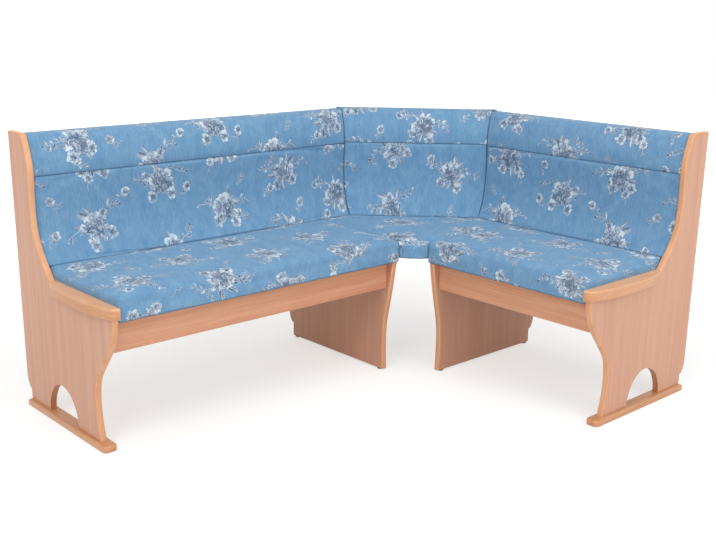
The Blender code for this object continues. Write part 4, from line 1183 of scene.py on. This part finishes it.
def makeSeatCover(side):
    rear, front, ends, kinks = seatPlan(side)
    hem = bench["cornerUnderside"] if side == "corner" else bench["seatUnderside"]
    top = bench["crown"]
    boardRise = bench["board"] + gap + seat["aboveBoard"]
    near = (0, 0.003, 0.006, 0.009, 0.012, 0.015, 0.018, 0.022, 0.027, 0.034)
    widest = max(ends(d)[1] - ends(d)[0] for d in kinks or [front])
    shares = stations(widest, near, cushion["spacing"])
    depths = [rear + s * (front - rear) for s in stations(front - rear, near, cushion["spacing"])]
    for kink in kinks:  # a row of the mesh lies on each bend of the plan
        nearest = min(range(len(depths)), key=lambda j: abs(depths[j] - kink))
        depths[nearest] = kink
    rises = [0, 0.0015, 0.004, 0.008, 0.0135, 0.021, 0.029] + spread(0.037, top - hem - 0.006, 5) + [top - hem]
    lastI, lastJ, lastK = len(shares) - 1, len(depths) - 1, len(rises) - 1

    def shaped(share, depth, rise):
        # A rounded box: a wide soft rounding in front, tight ones at the hem and between two seats
        turn = seat["lowTurn"] + (seat["topTurn"] - seat["lowTurn"]) * ease(rise, *seat["widens"])
        low, high = ends(depth)
        atSeam = side == "corner" or share < 0.5
        turnRun = min(turn, seat["seamTurn" if atSeam else "outerTurn"])
        fromLow, fromHigh = share * (high - low), (1 - share) * (high - low)
        drop = seat["seamDrop" if atSeam else "outerDrop"]
        drop += (seat["topDrop"] - drop) * ease(depth, front - 0.07, front - 0.02)
        vertical = drop if rise > (top - hem) / 2 else seat["hemTurn"]
        away = [0.0, 0.0, 0.0]
        if min(fromLow, fromHigh) < turnRun:
            away[0] = (1 - min(fromLow, fromHigh) / turnRun) * (-1 if fromLow < fromHigh else 1)
        middle = within(depth, rear + turn, front - turn)
        away[1] = (depth - middle) / turn
        level = within(rise, seat["hemTurn"], top - hem - drop)
        away[2] = (rise - level) / vertical
        size = math.sqrt(sum(c * c for c in away))
        scale = max(abs(c) for c in away) / size if size > 1e-9 else 1.0
        newDepth = middle + away[1] * scale * turn
        low, high = ends(newDepth)
        run = low + share * (high - low)
        if away[0] < 0:
            run = low + turnRun * (1 + away[0] * scale)
        elif away[0] > 0:
            run = high - turnRun * (1 - away[0] * scale)
        newRise = level + away[2] * scale * vertical
        across = min(front - newDepth, newDepth - rear + 0.10) / seat["crownReach"]
        aside = min(run - low, high - run) / seat["crownReach"]
        sideFall = seat["seamCrown" if atSeam else "crownDrop"] * ease(newDepth, rear + 0.05, rear + 0.16)
        falls = ((seat["crownDrop"], across), (sideFall, aside))
        fall = max(amount * (1 - within(part, 0, 1)) ** 2.2 for amount, part in falls)
        newRise -= fall * ease(rise, 0.03, top - hem)
        if depth > front - seat["noseReach"]:
            bulge = seat["noseBulge" if side == "corner" else "straightBulge"] * (1 - (2 * share - 1) ** 2)
            newDepth += (bulge - seat["straightBulge"]) * ease(depth, front - seat["noseReach"], front)
        return run, newDepth, newRise

    mesh = bmesh.new()
    vertices, places, held, paintedShadeAmounts = {}, {}, set(), {}

    def add(key, run, depth, rise, cut, isHeld, paintedShadeAmount=1.0):
        vertices[key] = vertex = mesh.verts.new(onBench(side, run, depth, hem + rise))
        places[vertex] = cut
        paintedShadeAmounts[vertex] = paintedShadeAmount
        if isHeld:
            held.add(vertex)

    def onBoard(i, j):
        # The edges that lie against the backs end on top of the seat board, which runs on to the wall
        return j == 0 or (i in (0, lastI) and bool(kinks) and depths[j] <= kinks[0])

    def at(i, j, k):
        if (i, j, k) in vertices:
            return vertices[i, j, k]
        share, depth, rise = shares[i], depths[j], rises[k]
        low, high = ends(depth)
        run, newDepth, newRise = shaped(share, depth, rise)
        point = onBench(side, run, newDepth, hem + newRise)
        out, along = cadHigh.x - point.x, cadHigh.y - point.y
        toBack = min(out, along, (out + along) / root2 - bench["cornerReach"]) - fabricFront(backs["bottom"])
        level = wobble(point, 7, cushion["wobble"] * 1.3) * ease(toBack, 0.0, 0.05)
        newRise += level * ease(rise, 0.02, top - hem)
        newRise += wobble(point + Vector((3, 1, 2)), 26, seat["hemWave"]) * ease(-rise, -0.03, 0)
        # Painted shade on the hem rows, and below in the valleys of the gathers
        paintedShadeAmount = (1.0, 1.0, 0.5)[k] if k < 3 else 0.0
        if j == lastJ:
            beside = min(run - low, high - run)
            folds = math.cos(beside * 2 * math.pi / seat["gatherPitch"] + wobble(point, 34, 2.4))
            folds *= max(0.0, 1 - beside / seat["gatherReach"]) * (1 - ease(rise, 0.025, 0.075))
            folds *= 0.6 + wobble(point + Vector((5, 3, 1)), 45, 0.9)
            newDepth += wobble(point + Vector((7, 2, 5)), 15, seat["frontWave"]) + seat["gather"] * folds
            paintedShadeAmount = max(paintedShadeAmount, -0.55 * folds)
        if onBoard(i, j) and rise < boardRise:
            newRise = boardRise + 0.00015 * k
        fall = top - hem - rise
        u = low + share * (high - low) + (-fall if i == 0 else fall if i == lastI else 0)
        v = depth + (-fall if j == 0 else fall if j == lastJ else 0)
        isHeld = k < 6 or i in (0, lastI) or toBack < seat["heldBack"]
        add((i, j, k), run, newDepth, newRise, (u, v), isHeld, paintedShadeAmount)
        return vertices[i, j, k]

    def under(i, j, row):
        # The cover turns in round the seat board's edges, and the foam lies on top of the board
        key = (i, j, -1 - row)
        if key not in vertices:
            inset, rise = ((seat["tuck"], 0.0), (seat["skirt"], 0.002), (seat["skirt"], boardRise))[row]
            depth = rear + inset + (depths[j] - rear) * (1 - 2 * inset / (front - rear))
            low, high = ends(depth)
            run = low + inset + shares[i] * (high - low - 2 * inset)
            if onBoard(i, j):
                rise = boardRise - 0.0001 * row
            atBorder = i in (0, lastI) or j in (0, lastJ)
            add(key, run, depth, rise, places[at(i, j, 0)] if atBorder else (run, depth), True)
        return vertices[key]

    for i in range(lastI):
        for j in range(lastJ):
            mesh.faces.new((at(i, j, lastK), at(i + 1, j, lastK), at(i + 1, j + 1, lastK), at(i, j + 1, lastK)))
            mesh.faces.new((under(i, j, 2), under(i, j + 1, 2), under(i + 1, j + 1, 2), under(i + 1, j, 2)))
    border = [(i, 0) for i in range(lastI)] + [(lastI, j) for j in range(lastJ)]
    border += [(i, lastJ) for i in range(lastI, 0, -1)] + [(0, j) for j in range(lastJ, 0, -1)]
    for here, there in zip(border, border[1:] + border[:1]):
        for k in range(lastK):
            mesh.faces.new((at(*here, k), at(*there, k), at(*there, k + 1), at(*here, k + 1)))
        mesh.faces.new((at(*there, 0), at(*here, 0), under(*here, 0), under(*there, 0)))
        for low, high in ((0, 1), (1, 2)):
            mesh.faces.new((under(*there, low), under(*here, low), under(*here, high), under(*there, high)))
    stands = [f"{side}_seat_pad"]
    return makeCover(f"{side}SeatCover", mesh, places, held, paintedShadeAmounts, printShift[side]["Seat"], stands)


def stuff(piece, limit):
    # Blows the cover up against its held edges with a cloth simulation, and keeps the result as its shape
    cloth = piece.modifiers.new("stuffing", "CLOTH")
    values = cloth.settings
    values.quality, values.mass = 4, cushion["mass"]
    values.tension_stiffness = values.compression_stiffness = cushion["stretch"]
    values.shear_stiffness, values.bending_stiffness = cushion["shear"], cushion["bending"]
    values.use_pressure, values.uniform_pressure_force = True, cushion["pressure"]
    values.vertex_group_mass = "held"
    values.effector_weights.gravity = 0
    cloth.collision_settings.use_collision = False
    cloth.point_cache.frame_start, cloth.point_cache.frame_end = 1, cushion["frames"]
    for step in range(1, cushion["frames"] + 1):
        scene.frame_set(step)
    shaped = piece.evaluated_get(bpy.context.evaluated_depsgraph_get()).to_mesh()
    moved = [vertex.co.copy() for vertex in shaped.vertices]
    piece.modifiers.remove(cloth)
    for vertex, place in zip(piece.data.vertices, moved):
        step = place - vertex.co
        if step.length > limit:
            step = step.normalized() * limit
        vertex.co += step
    scene.frame_set(1)


# How much each kind of cushion gives, and the furthest that the stuffing may move its cover
fillings = {"Seat": (0.8, 0.005), "Pad": (0.8, 0.004), "Roll": (0.85, 0.003)}


def finishCover(piece, fill, limit):
    stuff(piece, limit)
    smoothUnder(piece, 70)
    soft = piece.modifiers.new("softened", "SUBSURF")
    soft.levels = soft.render_levels = 1
    soft.use_limit_surface = False


for side in backs["tops"]:
    finishCover(makeSeatCover(side), *fillings["Seat"])
print("seat cushions made")
for side in backs["tops"]:
    for kind in ("Pad", "Roll"):
        finishCover(makeBackCover(kind, side), *fillings[kind])
    makeStaples(side)
print("backs made")
dressNodes()


studio = {
    "ambient": 0.60,
    "floorColour": "#f4f4f3",
    "seenFloorColour": "#b8b8b7",  # the camera sees a darker floor under a glow, which softens its shadow
    "floorGlow": 0.58,
    "glowFades": (1.2, 3.2),  # from the bench to plain white
    "lamps": {  # place, where it points, size, watts
        "leftLamp": ((-3.6, -1.2, 3.0), (0.0, 0.2, 0.4), 2.4, 63),
        "frontLamp": ((0.4, -4.2, 2.6), (0.1, 0.0, 0.4), 2.4, 69),
        "overheadLamp": ((-0.6, -0.8, 3.8), (0.2, 0.1, 0.4), 3.0, 45),
    },
}


def seenByCamera(tree):  # 1 for what the camera sees, also in reflections, and 0 for light
    light = tree.nodes.new("ShaderNodeLightPath")
    ways = [Wire(light.outputs[f"Is {way} Ray"]) for way in ("Camera", "Glossy", "Transmission")]
    return larger(larger(ways[0], ways[1]), ways[2])


def makeFloor():
    mesh = bmesh.new()
    bmesh.ops.create_grid(mesh, x_segments=1, y_segments=1, size=12)
    data = bpy.data.meshes.new("studioFloor")
    mesh.to_mesh(data)
    mesh.free()
    floor = bpy.data.objects.new("studioFloor", data)
    floor.location.z = -0.0005
    scene.collection.objects.link(floor)
    material, tree, shader = newMaterial("studioFloor", 0.9, Specular_IOR_Level=0.1)
    data.materials.append(material)
    seen = seenByCamera(tree)
    plugNamed(shader, Base_Color=mixColour(seen, tint(studio["floorColour"]), tint(studio["seenFloorColour"])))
    glow = tree.nodes.new("ShaderNodeEmission")
    paling = mixValue(fade(calc("LENGTH", ownPlace(tree)), *studio["glowFades"]), studio["floorGlow"], 1.0)
    plugNamed(glow, Color=(1, 1, 1, 1), Strength=seen * paling)
    both = tree.nodes.new("ShaderNodeAddShader")
    plugAll(both.inputs, (Wire(shader.outputs[0]), Wire(glow.outputs[0])))
    plug(tree.nodes["Material Output"].inputs["Surface"], Wire(both.outputs[0]))


def makeLights():
    world = bpy.data.worlds.new("studio")
    scene.world = world
    world.use_nodes = True
    background = world.node_tree.nodes["Background"]
    lit = mixValue(seenByCamera(world.node_tree), studio["ambient"], 1.0)
    plugNamed(background, Color=(1, 1, 1, 1), Strength=lit)

    for name, (place, target, size, watts) in studio["lamps"].items():
        data = bpy.data.lights.new(name, "AREA")
        data.shape, data.size, data.energy = "SQUARE", size, watts
        lamp = bpy.data.objects.new(name, data)
        lamp.location = place
        lamp.rotation_mode = "QUATERNION"
        lamp.rotation_quaternion = (Vector(target) - Vector(place)).to_track_quat("-Z", "Y")
        scene.collection.objects.link(lamp)
    scene.view_settings.view_transform = "Standard"


makeCamera()
makeFloor()
makeLights()
print("studio ready")
